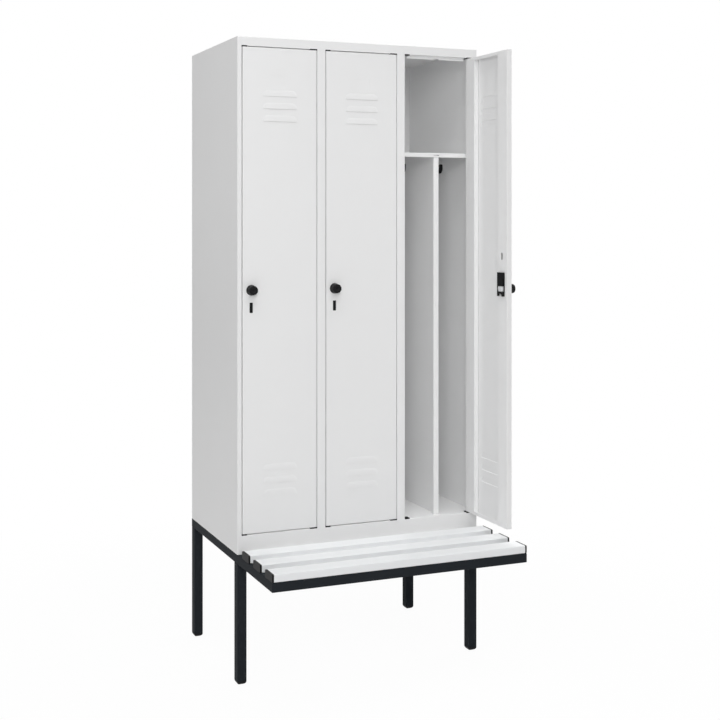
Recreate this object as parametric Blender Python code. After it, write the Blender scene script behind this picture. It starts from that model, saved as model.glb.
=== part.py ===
# Steel locker for three people, on a square-tube base whose bench runs out in front.
# Metres, +Z up. The front faces -Y, x = 0 is the middle of the cabinet, y = 0 the middle
# of the whole depth, and z = 0 the floor.

import math

import bpy
import bmesh
from mathutils import Vector

# Overall sizes
BODY_WIDTH = 0.900
BODY_DEPTH = 0.500
BODY_HEIGHT = 1.700
BASE_HEIGHT = 0.428
BENCH_REACH = 0.3125
BAY_COUNT = 3

# Sheet metal
SHEET = 0.001
BEND_RADIUS = 0.001
GAP = 0.0003
OVERRUN = 0.010

# Front of the cabinet
OUTER_STILE_WIDTH = 0.015
MIDDLE_STILE_WIDTH = 0.030
TOP_RAIL_HEIGHT = 0.030
BOTTOM_RAIL_HEIGHT = 0.0625
FRAME_DEPTH = 0.021
STOP_FLANGE = 0.010
REAR_FLANGE = 0.015
ROOF_REAR_FLANGE = 0.018
FLOOR_REAR_FLANGE = 0.020
RAIL_FOOT_FLANGE = 0.018
SIDE_FOOT_FLANGE = 0.028
CORNER_HOLE_LENGTH = 0.020
CORNER_HOLE_DEPTH = 0.030
CORNER_HOLE_SETBACK = 0.003
TOP_NOTCH_WIDTH = 0.018
TOP_NOTCH_HEIGHT = 0.003

# Shelf and partition in each compartment
SHELF_HEIGHT = 1.3325
SHELF_LIP = 0.015
SHELF_LIP_RETURN = 0.010
SHELF_REAR_FLANGE = 0.012
SHELF_SLOT_LENGTH = 0.024
SHELF_SLOT_HEIGHT = 0.0025
PARTITION_EDGE_WIDTH = 0.020
PARTITION_EDGE_DEPTH = 0.014

# Coat hooks
HOOK_WIDTH = 0.014
HOOK_DROP = 0.066
HOOK_FRONT_SETBACK = 0.118
HOOK_THROAT = 0.022
HOOK_THICKNESS = 0.007
HOOK_TIP_RISE = 0.012
HOOK_PLATE_LENGTH = 0.046
HOOK_PLATE_THICKNESS = 0.003
HOOK_EDGE_RADIUS = 0.002

# Doors
DOOR_GAP = 0.003
DOOR_DEPTH = 0.0185
DOOR_FOLD_RADIUS = 0.0015
HINGE_INSET = 0.0065
CHANNEL_WIDTH = 0.057
DOOR_END_RETURN = 0.012
CHANNEL_SLIT = 0.001
REST_ANGLES = (0.0, 0.0, math.radians(90.0))

# Louvres: hoods pressed outwards, open along their lower edge
LOUVRE_COUNT = 3
LOUVRE_WIDTH = 0.122
LOUVRE_HEIGHT = 0.020
LOUVRE_RISE = 0.0035
LOUVRE_SHOULDER = 0.014
LOUVRE_PITCH = 0.0417
LOUVRE_LIP = 0.0004
TOP_LOUVRE_DROP = 0.160
BOTTOM_LOUVRE_RISE = 0.121

# Label recess above the upper louvres
LABEL_WIDTH = 0.0615
LABEL_HEIGHT = 0.041
LABEL_DEPTH = 0.0005
LABEL_DROP = 0.090

# Lock
LOCK_SETBACK = 0.030
KNOB_RADIUS = 0.017
KNOB_FRONT_RADIUS = 0.0125
KNOB_HEIGHT = 0.026
KNOB_SKIRT = 0.005
KNOB_EDGE_RADIUS = 0.003
KNOB_DISH_RADIUS = 0.008
KNOB_DISH_DEPTH = 0.003
KNOB_FLUTE_DEPTH = 0.0008
KNOB_FLUTES = 10
SPINDLE_RADIUS = 0.004
RUNNING_GAP = 0.0003
STAPLE_SLOT_WIDTH = 0.009
STAPLE_SLOT_HEIGHT = 0.033
STAPLE_SLOT_DROP = 0.058
STAPLE_FLANGE = 0.003
STAPLE_FLANGE_THICKNESS = 0.0015
STAPLE_REACH = 0.008
STAPLE_GROOVE_WIDTH = 0.003
STAPLE_GROOVE_DEPTH = 0.006
STAPLE_GROOVE_MARGIN = 0.004
HOUSING_WIDTH = 0.034
HOUSING_ABOVE = 0.055
HOUSING_BELOW = 0.025
HOUSING_WALL = 0.0014
HOUSING_RISE = 0.0088
HOUSING_BASE = 0.001
HOUSING_EDGE_RADIUS = 0.001
HOUSING_WINDOW_WIDTH = 0.028
HOUSING_WINDOW_HEIGHT = 0.018
HOUSING_NOTCH_RADIUS = 0.0105
CAM_REACH = 0.036
CAM_WIDTH = 0.016
CAM_THICKNESS = 0.0025
CAM_HUB_RADIUS = 0.014
CAM_BEHIND_FLANGE = 0.0008
CAM_SCREW_RADIUS = 0.0035
CAM_SCREW_DEPTH = 0.0012
SIGHT_SLOT_WIDTH = 0.008
SIGHT_SLOT_HEIGHT = 0.023
SIGHT_SLOT_RISE = 0.109

# Door pivots: pins on the doors turn in plastic bearings snapped into the ledges.
# Blind plugs of the same shape close the holes on the lock side.
PIN_RADIUS = 0.0025
PIN_ENGAGEMENT = 0.009
BEARING_HEIGHT = 0.012
BEARING_LIP = 0.0015
BEARING_RISE = 0.0022
BEARING_REAR = 0.0195

# Base tubes
TUBE = 0.030
TUBE_WALL = 0.002
TUBE_CORNER_RADIUS = 0.0015
LEG_TUBE = 0.032
FOOT_HEIGHT = 0.012
FOOT_DOME_RADIUS = 0.009
FOOT_PLUG_LENGTH = 0.018
FOOT_PLUG_WALL = 0.003

# Bench slats
SLAT_COUNT = 3
SLAT_WIDTH = 0.061
SLAT_HEIGHT = 0.025
SLAT_PITCH = 0.1037
SLAT_WALL = 0.0022
SLAT_EDGE_RADIUS = 0.003
CAP_THICKNESS = 0.005
CAP_PLUG_LENGTH = 0.007
CAP_PLUG_WALL = 0.002

# Screws through the side rails, the same in the slats and in the cabinet
SCREW_RADIUS = 0.003
SCREW_HEAD_RADIUS = 0.0055
SCREW_HEAD_HEIGHT = 0.003
SCREW_BITE = 0.005
CABINET_SCREW_SHARES = (0.25, 0.75)

# Fineness of round shapes
BEND_STEPS = 2
ROUND_STEPS = 16
KNOB_STEPS = 30
SCREW_STEPS = 8
LOUVRE_STEPS = 3
FOOT_STEPS = 3

# Places that follow from the sizes above
BODY_FRONT = (BENCH_REACH - BODY_DEPTH) / 2
HALF_WIDTH = BODY_WIDTH / 2
BAY_PITCH = BODY_WIDTH / BAY_COUNT
RAIL_UNDERSIDE = BODY_HEIGHT - TOP_RAIL_HEIGHT
BEHIND_FLANGE = FRAME_DEPTH + SHEET + GAP
BACK_PANEL_REAR = BODY_DEPTH - SHEET - GAP
INNER_REAR = BACK_PANEL_REAR - SHEET - GAP
UNDER_ROOF = BODY_HEIGHT - SHEET - GAP
DOOR_HEIGHT = RAIL_UNDERSIDE - BOTTOM_RAIL_HEIGHT - 2 * DOOR_GAP
TUBE_TOP = BASE_HEIGHT
TUBE_BOTTOM = BASE_HEIGHT - TUBE
BENCH_FRONT = BODY_FRONT - BENCH_REACH
BODY_REAR = BODY_FRONT + BODY_DEPTH

# Colours as linear red, green and blue
COLOURS = {
    "light_grey_powder": ((0.72, 0.73, 0.74), 0.45, 0.0),
    "black_powder": ((0.020, 0.022, 0.027), 0.50, 0.0),
    "black_plastic": ((0.012, 0.012, 0.013), 0.40, 0.0),
    "light_plastic": ((0.76, 0.77, 0.78), 0.55, 0.0),
    "zinc": ((0.60, 0.61, 0.62), 0.35, 1.0),
}


def bay_edges(bay):
    """Left and right edges of a compartment's door opening, in cabinet x."""
    left_wall = -HALF_WIDTH + bay * BAY_PITCH
    right_wall = left_wall + BAY_PITCH
    left_stile = OUTER_STILE_WIDTH if bay == 0 else MIDDLE_STILE_WIDTH / 2
    right_stile = OUTER_STILE_WIDTH if bay == BAY_COUNT - 1 else MIDDLE_STILE_WIDTH / 2
    return left_wall + left_stile, right_wall - right_stile


def hinge_place(bay):
    """The axis of a door's pins, in cabinet x and y."""
    return bay_edges(bay)[1] - DOOR_GAP - HINGE_INSET, HINGE_INSET


def bay_walls(bay):
    """Inner faces of the walls beside a compartment, in cabinet x."""
    left_wall = -HALF_WIDTH + bay * BAY_PITCH
    right_wall = left_wall + BAY_PITCH
    left_skin = SHEET if bay == 0 else SHEET / 2
    right_skin = SHEET if bay == BAY_COUNT - 1 else SHEET / 2
    return left_wall + left_skin, right_wall - right_skin


# Outlines

def arc(centre, radius, start, end, steps):
    angles = [start + (end - start) * step / steps for step in range(steps + 1)]
    return [(centre[0] + radius * math.cos(a), centre[1] + radius * math.sin(a)) for a in angles]


def circle(radius, steps, centre=(0.0, 0.0)):
    return arc(centre, radius, 0, 2 * math.pi, steps)[:-1]


def rectangle(low, high):
    return [(low[0], low[1]), (high[0], low[1]), (high[0], high[1]), (low[0], high[1])]


def rounded_rectangle(low, high, radius, steps=BEND_STEPS):
    corners = [(high[0] - radius, high[1] - radius), (low[0] + radius, high[1] - radius),
               (low[0] + radius, low[1] + radius), (high[0] - radius, low[1] + radius)]
    outline = []
    for quarter, corner in enumerate(corners):
        start = quarter * math.pi / 2
        outline += arc(corner, radius, start, start + math.pi / 2, steps)
    return outline


def left_normal(first, second):
    run = Vector(second) - Vector(first)
    return Vector((-run.y, run.x)).normalized()


def bent_line(points, offset, inner_radius):
    """The line at an offset to the left of a folded sheet's outer face, its bends rounded."""
    line = []
    last = len(points) - 1
    for index, point in enumerate(points):
        before = left_normal(points[index - 1], point) if index else None
        after = left_normal(point, points[index + 1]) if index < last else None
        if before is None or after is None:
            line.append(tuple(Vector(point) + (after or before) * offset))
            continue
        turns_left = before.x * after.y - before.y * after.x > 0
        radius = inner_radius if turns_left == (offset > 0) else inner_radius + SHEET
        side = 1 if turns_left else -1
        middle = Vector(point) + (before + after) * (offset + side * radius) / (1 + before.dot(after))
        start = math.atan2(-side * before.y, -side * before.x)
        sweep = side * math.acos(max(-1, min(1, before.dot(after))))
        line += arc(middle, radius, start, start + sweep, BEND_STEPS)
    return line


def folded(points):
    """Closed outline of a sheet whose outer face follows the points, its wall on their left."""
    return bent_line(points, 0, BEND_RADIUS) + bent_line(points, SHEET, BEND_RADIUS)[::-1]


# Solids

AXIS_ORDER = {
    "x": lambda u, v, along: (along, u, v),
    "y": lambda u, v, along: (u, along, v),
    "z": lambda u, v, along: (u, v, along),
}


def mesh_of(shape):
    mesh = bpy.data.meshes.new("shape")
    shape.to_mesh(mesh)
    shape.free()
    return mesh


def loft(rings):
    """A solid through rings of equally many points, closed at both ends."""
    shape = bmesh.new()
    rows = [[shape.verts.new(point) for point in ring] for ring in rings]
    count = len(rows[0])
    for low, high in zip(rows, rows[1:]):
        for index in range(count):
            after = (index + 1) % count
            shape.faces.new((low[index], low[after], high[after], high[index]))
    shape.faces.new(rows[0])
    shape.faces.new(rows[-1])
    bmesh.ops.recalc_face_normals(shape, faces=shape.faces)
    return mesh_of(shape)


def prism(outline, axis, start, end):
    """An outline pushed along x, y or z."""
    place = AXIS_ORDER[axis]
    return loft([[place(u, v, along) for u, v in outline] for along in (start, end)])


def box(low, high):
    return prism(rectangle(low[:2], high[:2]), "z", low[2], high[2])


def rod(radius, axis, centre, start, end, steps=ROUND_STEPS):
    return prism(circle(radius, steps, centre), axis, start, end)


def gathered(meshes):
    """Several separate solids in one mesh."""
    shape = bmesh.new()
    for mesh in meshes:
        shape.from_mesh(mesh)
    return mesh_of(shape)


def combined(mesh, others, operation):
    """A mesh after one exact Boolean for each of the others."""
    scene = bpy.context.scene.collection
    target = bpy.data.objects.new("target", mesh)
    scene.objects.link(target)
    helpers = []
    for other in others:
        helper = bpy.data.objects.new("helper", other)
        helper.hide_render = True
        helper.display_type = "WIRE"
        scene.objects.link(helper)
        helpers.append(helper)
        step = target.modifiers.new("cut", "BOOLEAN")
        step.operation = operation
        step.solver = "EXACT"
        step.object = helper
    graph = bpy.context.evaluated_depsgraph_get()
    result = bpy.data.meshes.new_from_object(target.evaluated_get(graph))
    for helper in [target, *helpers]:
        bpy.data.objects.remove(helper)
    return result


def cut(mesh, *others):
    return combined(mesh, others, "DIFFERENCE")


def join(mesh, *others):
    return combined(mesh, others, "UNION")


def common(mesh, *others):
    return combined(mesh, others, "INTERSECT")


def bevelled(mesh, width, steps=BEND_STEPS, chosen=None):
    """A mesh with its sharp edges rounded, or only the chosen ones."""
    shape = bmesh.new()
    shape.from_mesh(mesh)
    edges = [edge for edge in shape.edges
             if edge.calc_face_angle(0) > math.radians(40) and (chosen is None or chosen(edge))]
    bmesh.ops.bevel(shape, geom=edges, offset=width, segments=steps, profile=0.5,
                    affect="EDGES", clamp_overlap=True)
    return mesh_of(shape)


def mirrored(mesh, axis="x", total=0.0):
    """The mesh seen in a plane across an axis, which lies at half the total along it."""
    shape = bmesh.new()
    shape.from_mesh(mesh)
    for vert in shape.verts:
        place = getattr(vert.co, axis)
        setattr(vert.co, axis, total - place)
    bmesh.ops.reverse_faces(shape, faces=shape.faces)
    return mesh_of(shape)


def moved(mesh, by):
    copy = mesh.copy()
    for vert in copy.vertices:
        vert.co += Vector(by)
    return copy


# Scene

materials = {}


def material(name):
    if name not in materials:
        colour, roughness, metallic = COLOURS[name]
        made = bpy.data.materials.new(name)
        made.use_nodes = True
        shader = made.node_tree.nodes["Principled BSDF"]
        shader.inputs["Base Color"].default_value = (*colour, 1)
        shader.inputs["Roughness"].default_value = roughness
        shader.inputs["Metallic"].default_value = metallic
        made.diffuse_color = (*colour, 1)
        materials[name] = made
    return materials[name]


def holder(name, location=(0.0, 0.0, 0.0), parent=None):
    empty = bpy.data.objects.new(name, None)
    bpy.context.scene.collection.objects.link(empty)
    empty.location = location
    empty.parent = parent
    return empty


def add(name, mesh, finish, parent=None, location=(0.0, 0.0, 0.0), smooth=False):
    own = mesh.copy()
    own.name = name
    own.materials.clear()
    own.materials.append(material(finish))
    if smooth:
        own.shade_smooth()
        own.set_sharp_from_angle(angle=math.radians(35))
    obj = bpy.data.objects.new(name, own)
    bpy.context.scene.collection.objects.link(obj)
    obj.location = location
    obj.parent = parent
    return obj


# Cabinet body, in cabinet coordinates: y = 0 its front plane, z = 0 its underside

def side_panel():
    """The left side: skin, stile, stop flange and rear flange folded from one sheet."""
    stile = -HALF_WIDTH + OUTER_STILE_WIDTH
    skin = folded([(-HALF_WIDTH + REAR_FLANGE, BODY_DEPTH), (-HALF_WIDTH, BODY_DEPTH), (-HALF_WIDTH, 0),
                   (stile, 0), (stile, FRAME_DEPTH), (stile + STOP_FLANGE, FRAME_DEPTH)])
    foot = box((-HALF_WIDTH + SHEET / 2, BEHIND_FLANGE, 0),
               (-HALF_WIDTH + SIDE_FOOT_FLANGE, INNER_REAR, SHEET))
    panel = join(prism(skin, "z", 0, UNDER_ROOF), foot)
    return cut(panel, *cabinet_screw_holes())


def cabinet_screw_places():
    """Screw places along the left side, in cabinet coordinates."""
    x = -HALF_WIDTH + TUBE / 2
    return [(x, BODY_DEPTH * share) for share in CABINET_SCREW_SHARES]


def cabinet_screw_holes():
    return [rod(SCREW_RADIUS + GAP, "z", place, -OVERRUN, OVERRUN) for place in cabinet_screw_places()]


def corner_holes(low, high):
    """Openings in the ledge at both ends of each door opening."""
    holes = []
    for bay in range(BAY_COUNT):
        left, right = bay_edges(bay)
        for start, end in ((left, left + CORNER_HOLE_LENGTH), (right - CORNER_HOLE_LENGTH, right)):
            holes.append(box((start, CORNER_HOLE_SETBACK, low), (end, CORNER_HOLE_DEPTH, high)))
    return gathered(holes)


def end_pockets(low, high, depth):
    """Room at both ends for the stiles of the side panels."""
    inner = HALF_WIDTH - OUTER_STILE_WIDTH - GAP
    outer = HALF_WIDTH + OVERRUN
    return gathered([box((-outer, -OVERRUN, low), (-inner, depth, high)),
                     box((inner, -OVERRUN, low), (outer, depth, high))])


def roof():
    profile = folded([(BODY_DEPTH, BODY_HEIGHT - ROOF_REAR_FLANGE), (BODY_DEPTH, BODY_HEIGHT),
                      (0, BODY_HEIGHT), (0, RAIL_UNDERSIDE), (FRAME_DEPTH, RAIL_UNDERSIDE),
                      (FRAME_DEPTH, RAIL_UNDERSIDE - STOP_FLANGE)])
    sheet = prism(profile, "x", -HALF_WIDTH, HALF_WIDTH)
    low = RAIL_UNDERSIDE - STOP_FLANGE - OVERRUN
    behind_stiles = []
    notches = []
    for bay in range(BAY_COUNT):
        left, right = bay_edges(bay)
        middle = (left + right) / 2
        notches.append(box((middle - TOP_NOTCH_WIDTH / 2, FRAME_DEPTH - OVERRUN, low),
                           (middle + TOP_NOTCH_WIDTH / 2, FRAME_DEPTH + OVERRUN,
                            RAIL_UNDERSIDE - STOP_FLANGE + TOP_NOTCH_HEIGHT)))
        if bay:
            previous = bay_edges(bay - 1)[1]
            behind_stiles.append(box((previous - STOP_FLANGE, FRAME_DEPTH / 2, low),
                                     (left + STOP_FLANGE, FRAME_DEPTH + OVERRUN, RAIL_UNDERSIDE - GAP)))
    open_sheet = cut(sheet, end_pockets(low, UNDER_ROOF, BODY_DEPTH + OVERRUN), gathered(behind_stiles),
                     gathered(notches), corner_holes(low, RAIL_UNDERSIDE + SHEET + OVERRUN / 2))
    plugs = gathered([moved(corner_plugs(bay), (0, 0, RAIL_UNDERSIDE)) for bay in range(BAY_COUNT)])
    return join(open_sheet, plugs)


def floor_pan():
    profile = folded([(INNER_REAR, BOTTOM_RAIL_HEIGHT - FLOOR_REAR_FLANGE), (INNER_REAR, BOTTOM_RAIL_HEIGHT),
                      (0, BOTTOM_RAIL_HEIGHT), (0, 0), (RAIL_FOOT_FLANGE, 0)])
    inner = HALF_WIDTH - SHEET - GAP
    sheet = prism(profile, "x", -inner, inner)
    open_sheet = cut(sheet, end_pockets(-OVERRUN, BOTTOM_RAIL_HEIGHT + OVERRUN, BEHIND_FLANGE),
                     corner_holes(BOTTOM_RAIL_HEIGHT - OVERRUN, BOTTOM_RAIL_HEIGHT + OVERRUN))
    plugs = gathered([mirrored(corner_plugs(bay), "z", BOTTOM_RAIL_HEIGHT) for bay in range(BAY_COUNT)])
    return join(open_sheet, plugs)


def back_panel():
    inner = HALF_WIDTH - SHEET - GAP
    return box((-inner, BACK_PANEL_REAR - SHEET, SHEET + GAP), (inner, BACK_PANEL_REAR, UNDER_ROOF))


def divider():
    """Wall behind a middle stile, its front edge inside the stile."""
    front = SHEET + GAP
    bottom = BOTTOM_RAIL_HEIGHT + GAP
    under_ledge = RAIL_UNDERSIDE - GAP
    outline = [(front, bottom), (INNER_REAR, bottom), (INNER_REAR, UNDER_ROOF), (BEHIND_FLANGE, UNDER_ROOF),
               (BEHIND_FLANGE, under_ledge), (front, under_ledge)]
    return prism(outline, "x", -SHEET / 2, SHEET / 2)


def middle_stile():
    """Hat section: front face, two sides and the stop flanges."""
    half = MIDDLE_STILE_WIDTH / 2
    profile = folded([(-half - STOP_FLANGE, FRAME_DEPTH), (-half, FRAME_DEPTH), (-half, 0),
                      (half, 0), (half, FRAME_DEPTH), (half + STOP_FLANGE, FRAME_DEPTH)])
    return prism(profile, "z", BOTTOM_RAIL_HEIGHT + GAP, RAIL_UNDERSIDE - 2 * GAP)


def hat_shelf(bay):
    left, right = bay_walls(bay)
    middle = sum(bay_edges(bay)) / 2
    front = BEHIND_FLANGE
    low = SHELF_HEIGHT - SHELF_LIP
    profile = folded([(INNER_REAR, SHELF_HEIGHT - SHELF_REAR_FLANGE), (INNER_REAR, SHELF_HEIGHT),
                      (front, SHELF_HEIGHT), (front, low), (front + SHELF_LIP_RETURN, low)])
    shelf = prism(profile, "x", left + GAP, right - GAP)
    slot_centre = SHELF_HEIGHT - SHELF_LIP / 2
    slot = box((middle - SHELF_SLOT_LENGTH / 2, front - OVERRUN, slot_centre - SHELF_SLOT_HEIGHT / 2),
               (middle + SHELF_SLOT_LENGTH / 2, front + SHELF_LIP_RETURN / 2,
                slot_centre + SHELF_SLOT_HEIGHT / 2))
    return cut(shelf, slot)


def partition():
    """Wall under the shelf, its front edge folded into a slim box."""
    half = PARTITION_EDGE_WIDTH / 2
    front = BEHIND_FLANGE
    fold = front + PARTITION_EDGE_DEPTH
    skin = SHEET / 2
    profile = folded([(skin, INNER_REAR), (skin, fold), (half, fold), (half, front), (-half, front),
                      (-half, fold), (-skin - GAP - SHEET, fold)][::-1])
    wall = prism(profile, "z", BOTTOM_RAIL_HEIGHT + GAP, SHELF_HEIGHT - SHEET - GAP)
    over_lip = box((-half - OVERRUN, front - OVERRUN, SHELF_HEIGHT - SHELF_LIP - GAP),
                   (half + OVERRUN, front + SHELF_LIP_RETURN + GAP, SHELF_HEIGHT + OVERRUN))
    rear_notch = box((-half, INNER_REAR - SHEET - GAP, SHELF_HEIGHT - SHELF_REAR_FLANGE - GAP),
                     (half, INNER_REAR + OVERRUN, SHELF_HEIGHT + OVERRUN))
    return cut(wall, over_lip, rear_notch)


def coat_hook():
    """J-shaped hook: plate under the shelf, stem, and a tip that turns up at the front."""
    outer = HOOK_THROAT / 2 + HOOK_THICKNESS
    inner = HOOK_THROAT / 2
    middle = HOOK_FRONT_SETBACK + outer
    bow = outer - HOOK_DROP
    tip = (middle - (outer + inner) / 2, bow + HOOK_TIP_RISE)
    outline = arc((middle, bow), outer, math.pi, 2 * math.pi, ROUND_STEPS // 2)
    outline += [(middle + outer, 0), (middle + inner, 0)]
    outline += arc((middle, bow), inner, 2 * math.pi, math.pi, ROUND_STEPS // 2)
    outline += arc(tip, HOOK_THICKNESS / 2, 0, math.pi, ROUND_STEPS // 4)
    stem = prism(outline, "x", -HOOK_WIDTH / 2, HOOK_WIDTH / 2)
    front_view = rounded_rectangle((-HOOK_WIDTH / 2, -HOOK_DROP), (HOOK_WIDTH / 2, HOOK_DROP),
                                   HOOK_WIDTH / 3, BEND_STEPS + 1)
    slim = common(stem, prism(front_view, "y", HOOK_FRONT_SETBACK - OVERRUN,
                              middle + outer + OVERRUN))
    plate_front = middle + outer - HOOK_PLATE_LENGTH
    plate = prism(rounded_rectangle((-HOOK_WIDTH / 2 - HOOK_EDGE_RADIUS, plate_front),
                                    (HOOK_WIDTH / 2 + HOOK_EDGE_RADIUS, middle + outer + HOOK_EDGE_RADIUS),
                                    HOOK_EDGE_RADIUS), "z", -HOOK_PLATE_THICKNESS, 0)
    return join(plate, slim)


def corner_plug(bay):
    """Plug in a corner hole on the hinge side: a head in the door's gap and a wider body
    behind it. The sheet that it sits in has its visible face at z = 0."""
    right = bay_edges(bay)[1]
    left = right - CORNER_HOLE_LENGTH
    front = CORNER_HOLE_SETBACK
    head = box((left + GAP, front + GAP, -BEARING_RISE), (right - GAP, BEARING_REAR - GAP, SHEET))
    body = box((left - BEARING_LIP, front - BEARING_LIP / 2, SHEET / 2),
               (right - GAP, BEARING_REAR, BEARING_HEIGHT))
    return join(body, head)


def corner_plugs(bay):
    """The bearing for a door's pin, and the blind plug at the other end of the opening."""
    plug = corner_plug(bay)
    hole = rod(PIN_RADIUS + RUNNING_GAP, "z", hinge_place(bay), -OVERRUN, BEARING_HEIGHT + OVERRUN)
    return gathered([mirrored(plug, "x", sum(bay_edges(bay))), cut(plug, hole)])


# Doors, in door coordinates: the hinge axis is x = y = 0, and z = 0 the door's lower edge

DOOR_FRONT = -HINGE_INSET
DOOR_BACK = DOOR_DEPTH - HINGE_INSET


def door_span(bay):
    """Left and right ends of a closed door from its hinge axis."""
    left, right = bay_edges(bay)
    return left + DOOR_GAP - (right - DOOR_GAP - HINGE_INSET), HINGE_INSET


def lock_place(bay):
    """The knob's axis on a door, as x and z."""
    return door_span(bay)[0] + LOCK_SETBACK, DOOR_HEIGHT / 2


def hood_rings(middle, low, inset, back):
    """Rings of a hood, bottom to top: half-round ends, highest at the lower edge."""
    height = LOUVRE_HEIGHT - inset
    half = LOUVRE_WIDTH / 2 - inset
    rings = []
    for step in range(LOUVRE_STEPS + 1):
        turn = step / LOUVRE_STEPS * math.pi / 2
        z = low + height * math.sin(turn)
        rise = (LOUVRE_RISE - inset) * math.cos(turn)
        reach = half - LOUVRE_SHOULDER * (1 - math.cos(turn))
        shoulder = LOUVRE_SHOULDER
        ring = [(middle - reach, back, z), (middle - reach, DOOR_FRONT, z),
                (middle - reach + shoulder / 3, DOOR_FRONT - rise * 0.7, z),
                (middle - reach + shoulder, DOOR_FRONT - rise, z),
                (middle + reach - shoulder, DOOR_FRONT - rise, z),
                (middle + reach - shoulder / 3, DOOR_FRONT - rise * 0.7, z),
                (middle + reach, DOOR_FRONT, z), (middle + reach, back, z)]
        rings.append(ring)
    return rings


def louvre_places(bay):
    """Lower edge of each louvre, from the door's lower edge."""
    upper = [DOOR_HEIGHT - TOP_LOUVRE_DROP - row * LOUVRE_PITCH for row in range(LOUVRE_COUNT)]
    lower = [BOTTOM_LOUVRE_RISE + row * LOUVRE_PITCH for row in range(LOUVRE_COUNT)]
    return upper + lower


def door(bay):
    left, right = door_span(bay)
    middle = (left + right) / 2
    lock_x, lock_z = lock_place(bay)
    shell = bevelled(box((left, DOOR_FRONT, 0), (right, DOOR_BACK, DOOR_HEIGHT)), DOOR_FOLD_RADIUS)
    hoods = gathered([loft(hood_rings(middle, low, 0, DOOR_FRONT + SHEET / 2))
                      for low in louvre_places(bay)])
    hollows = gathered([
        box((left + SHEET, DOOR_FRONT + SHEET, SHEET),
            (left + CHANNEL_WIDTH - SHEET, DOOR_BACK - SHEET, DOOR_HEIGHT - SHEET)),
        box((left + CHANNEL_WIDTH, DOOR_FRONT + SHEET, SHEET),
            (right - CHANNEL_WIDTH, DOOR_BACK - SHEET, DOOR_HEIGHT - SHEET)),
        box((right - CHANNEL_WIDTH + SHEET, DOOR_FRONT + SHEET, SHEET),
            (right - SHEET, DOOR_BACK - SHEET, DOOR_HEIGHT - SHEET))])
    slit = box((left + SHEET, DOOR_FRONT + SHEET, SHEET),
               (right - SHEET, DOOR_FRONT + SHEET + CHANNEL_SLIT, DOOR_HEIGHT - SHEET))
    window = box((left + CHANNEL_WIDTH, DOOR_FRONT + DOOR_DEPTH / 2, DOOR_END_RETURN),
                 (right - CHANNEL_WIDTH, DOOR_BACK + OVERRUN, DOOR_HEIGHT - DOOR_END_RETURN))
    vents = gathered([loft(hood_rings(middle, low - LOUVRE_LIP, SHEET, DOOR_FRONT + 2 * SHEET))
                      for low in louvre_places(bay)])
    label_top = DOOR_HEIGHT - LABEL_DROP
    label = box((middle - LABEL_WIDTH / 2, DOOR_FRONT - OVERRUN, label_top - LABEL_HEIGHT),
                (middle + LABEL_WIDTH / 2, DOOR_FRONT + LABEL_DEPTH, label_top))
    slot_z = lock_z - STAPLE_SLOT_DROP
    sight_z = lock_z + SIGHT_SLOT_RISE
    holes = gathered([
        rod(SPINDLE_RADIUS + RUNNING_GAP, "y", (lock_x, lock_z), DOOR_FRONT - OVERRUN, DOOR_BACK + OVERRUN),
        prism(rounded_rectangle((lock_x - STAPLE_SLOT_WIDTH / 2, slot_z - STAPLE_SLOT_HEIGHT / 2),
                                (lock_x + STAPLE_SLOT_WIDTH / 2, slot_z + STAPLE_SLOT_HEIGHT / 2),
                                STAPLE_SLOT_WIDTH / 3), "y", DOOR_FRONT - OVERRUN, DOOR_FRONT + 2 * SHEET),
        prism(rounded_rectangle((lock_x - SIGHT_SLOT_WIDTH / 2, sight_z - SIGHT_SLOT_HEIGHT / 2),
                                (lock_x + SIGHT_SLOT_WIDTH / 2, sight_z + SIGHT_SLOT_HEIGHT / 2),
                                SIGHT_SLOT_WIDTH / 3), "y", DOOR_BACK - 2 * SHEET, DOOR_BACK + OVERRUN)])
    pin_reach = DOOR_GAP + BEARING_HEIGHT
    pins = gathered([rod(PIN_RADIUS, "z", (0, 0), -pin_reach, PIN_ENGAGEMENT),
                     rod(PIN_RADIUS, "z", (0, 0), DOOR_HEIGHT - PIN_ENGAGEMENT, DOOR_HEIGHT + pin_reach)])
    skin = cut(join(shell, hoods), hollows, slit, window, vents, label, holes)
    return join(skin, pins)


def knob():
    """Turned knob with a fluted grip, its axis along -y, and its spindle."""
    profile = [(KNOB_RADIUS, GAP), (KNOB_RADIUS, KNOB_SKIRT),
               (KNOB_FRONT_RADIUS + KNOB_EDGE_RADIUS / 2, KNOB_HEIGHT - KNOB_EDGE_RADIUS)]
    profile += [(KNOB_FRONT_RADIUS, KNOB_HEIGHT - KNOB_EDGE_RADIUS / 3),
                (KNOB_FRONT_RADIUS - KNOB_EDGE_RADIUS / 2, KNOB_HEIGHT),
                (KNOB_DISH_RADIUS, KNOB_HEIGHT), (KNOB_DISH_RADIUS / 2, KNOB_HEIGHT - KNOB_DISH_DEPTH)]
    rings = []
    for row, (radius, rise) in enumerate(profile):
        flute = KNOB_FLUTE_DEPTH if row in (2, 3) else 0
        ring = []
        for step in range(KNOB_STEPS):
            angle = 2 * math.pi * step / KNOB_STEPS
            reach = radius - flute * (1 + math.cos(KNOB_FLUTES * angle)) / 2
            ring.append((reach * math.cos(angle), DOOR_FRONT - rise, reach * math.sin(angle)))
        rings.append(ring)
    grip = loft(rings)
    spindle = rod(SPINDLE_RADIUS, "y", (0, 0), DOOR_FRONT - KNOB_HEIGHT / 2, cam_front() - GAP)
    return join(grip, spindle)


def cam_front():
    """Front of the cam, just behind the stop flange of a closed door."""
    return FRAME_DEPTH + SHEET + CAM_BEHIND_FLANGE - HINGE_INSET


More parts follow.
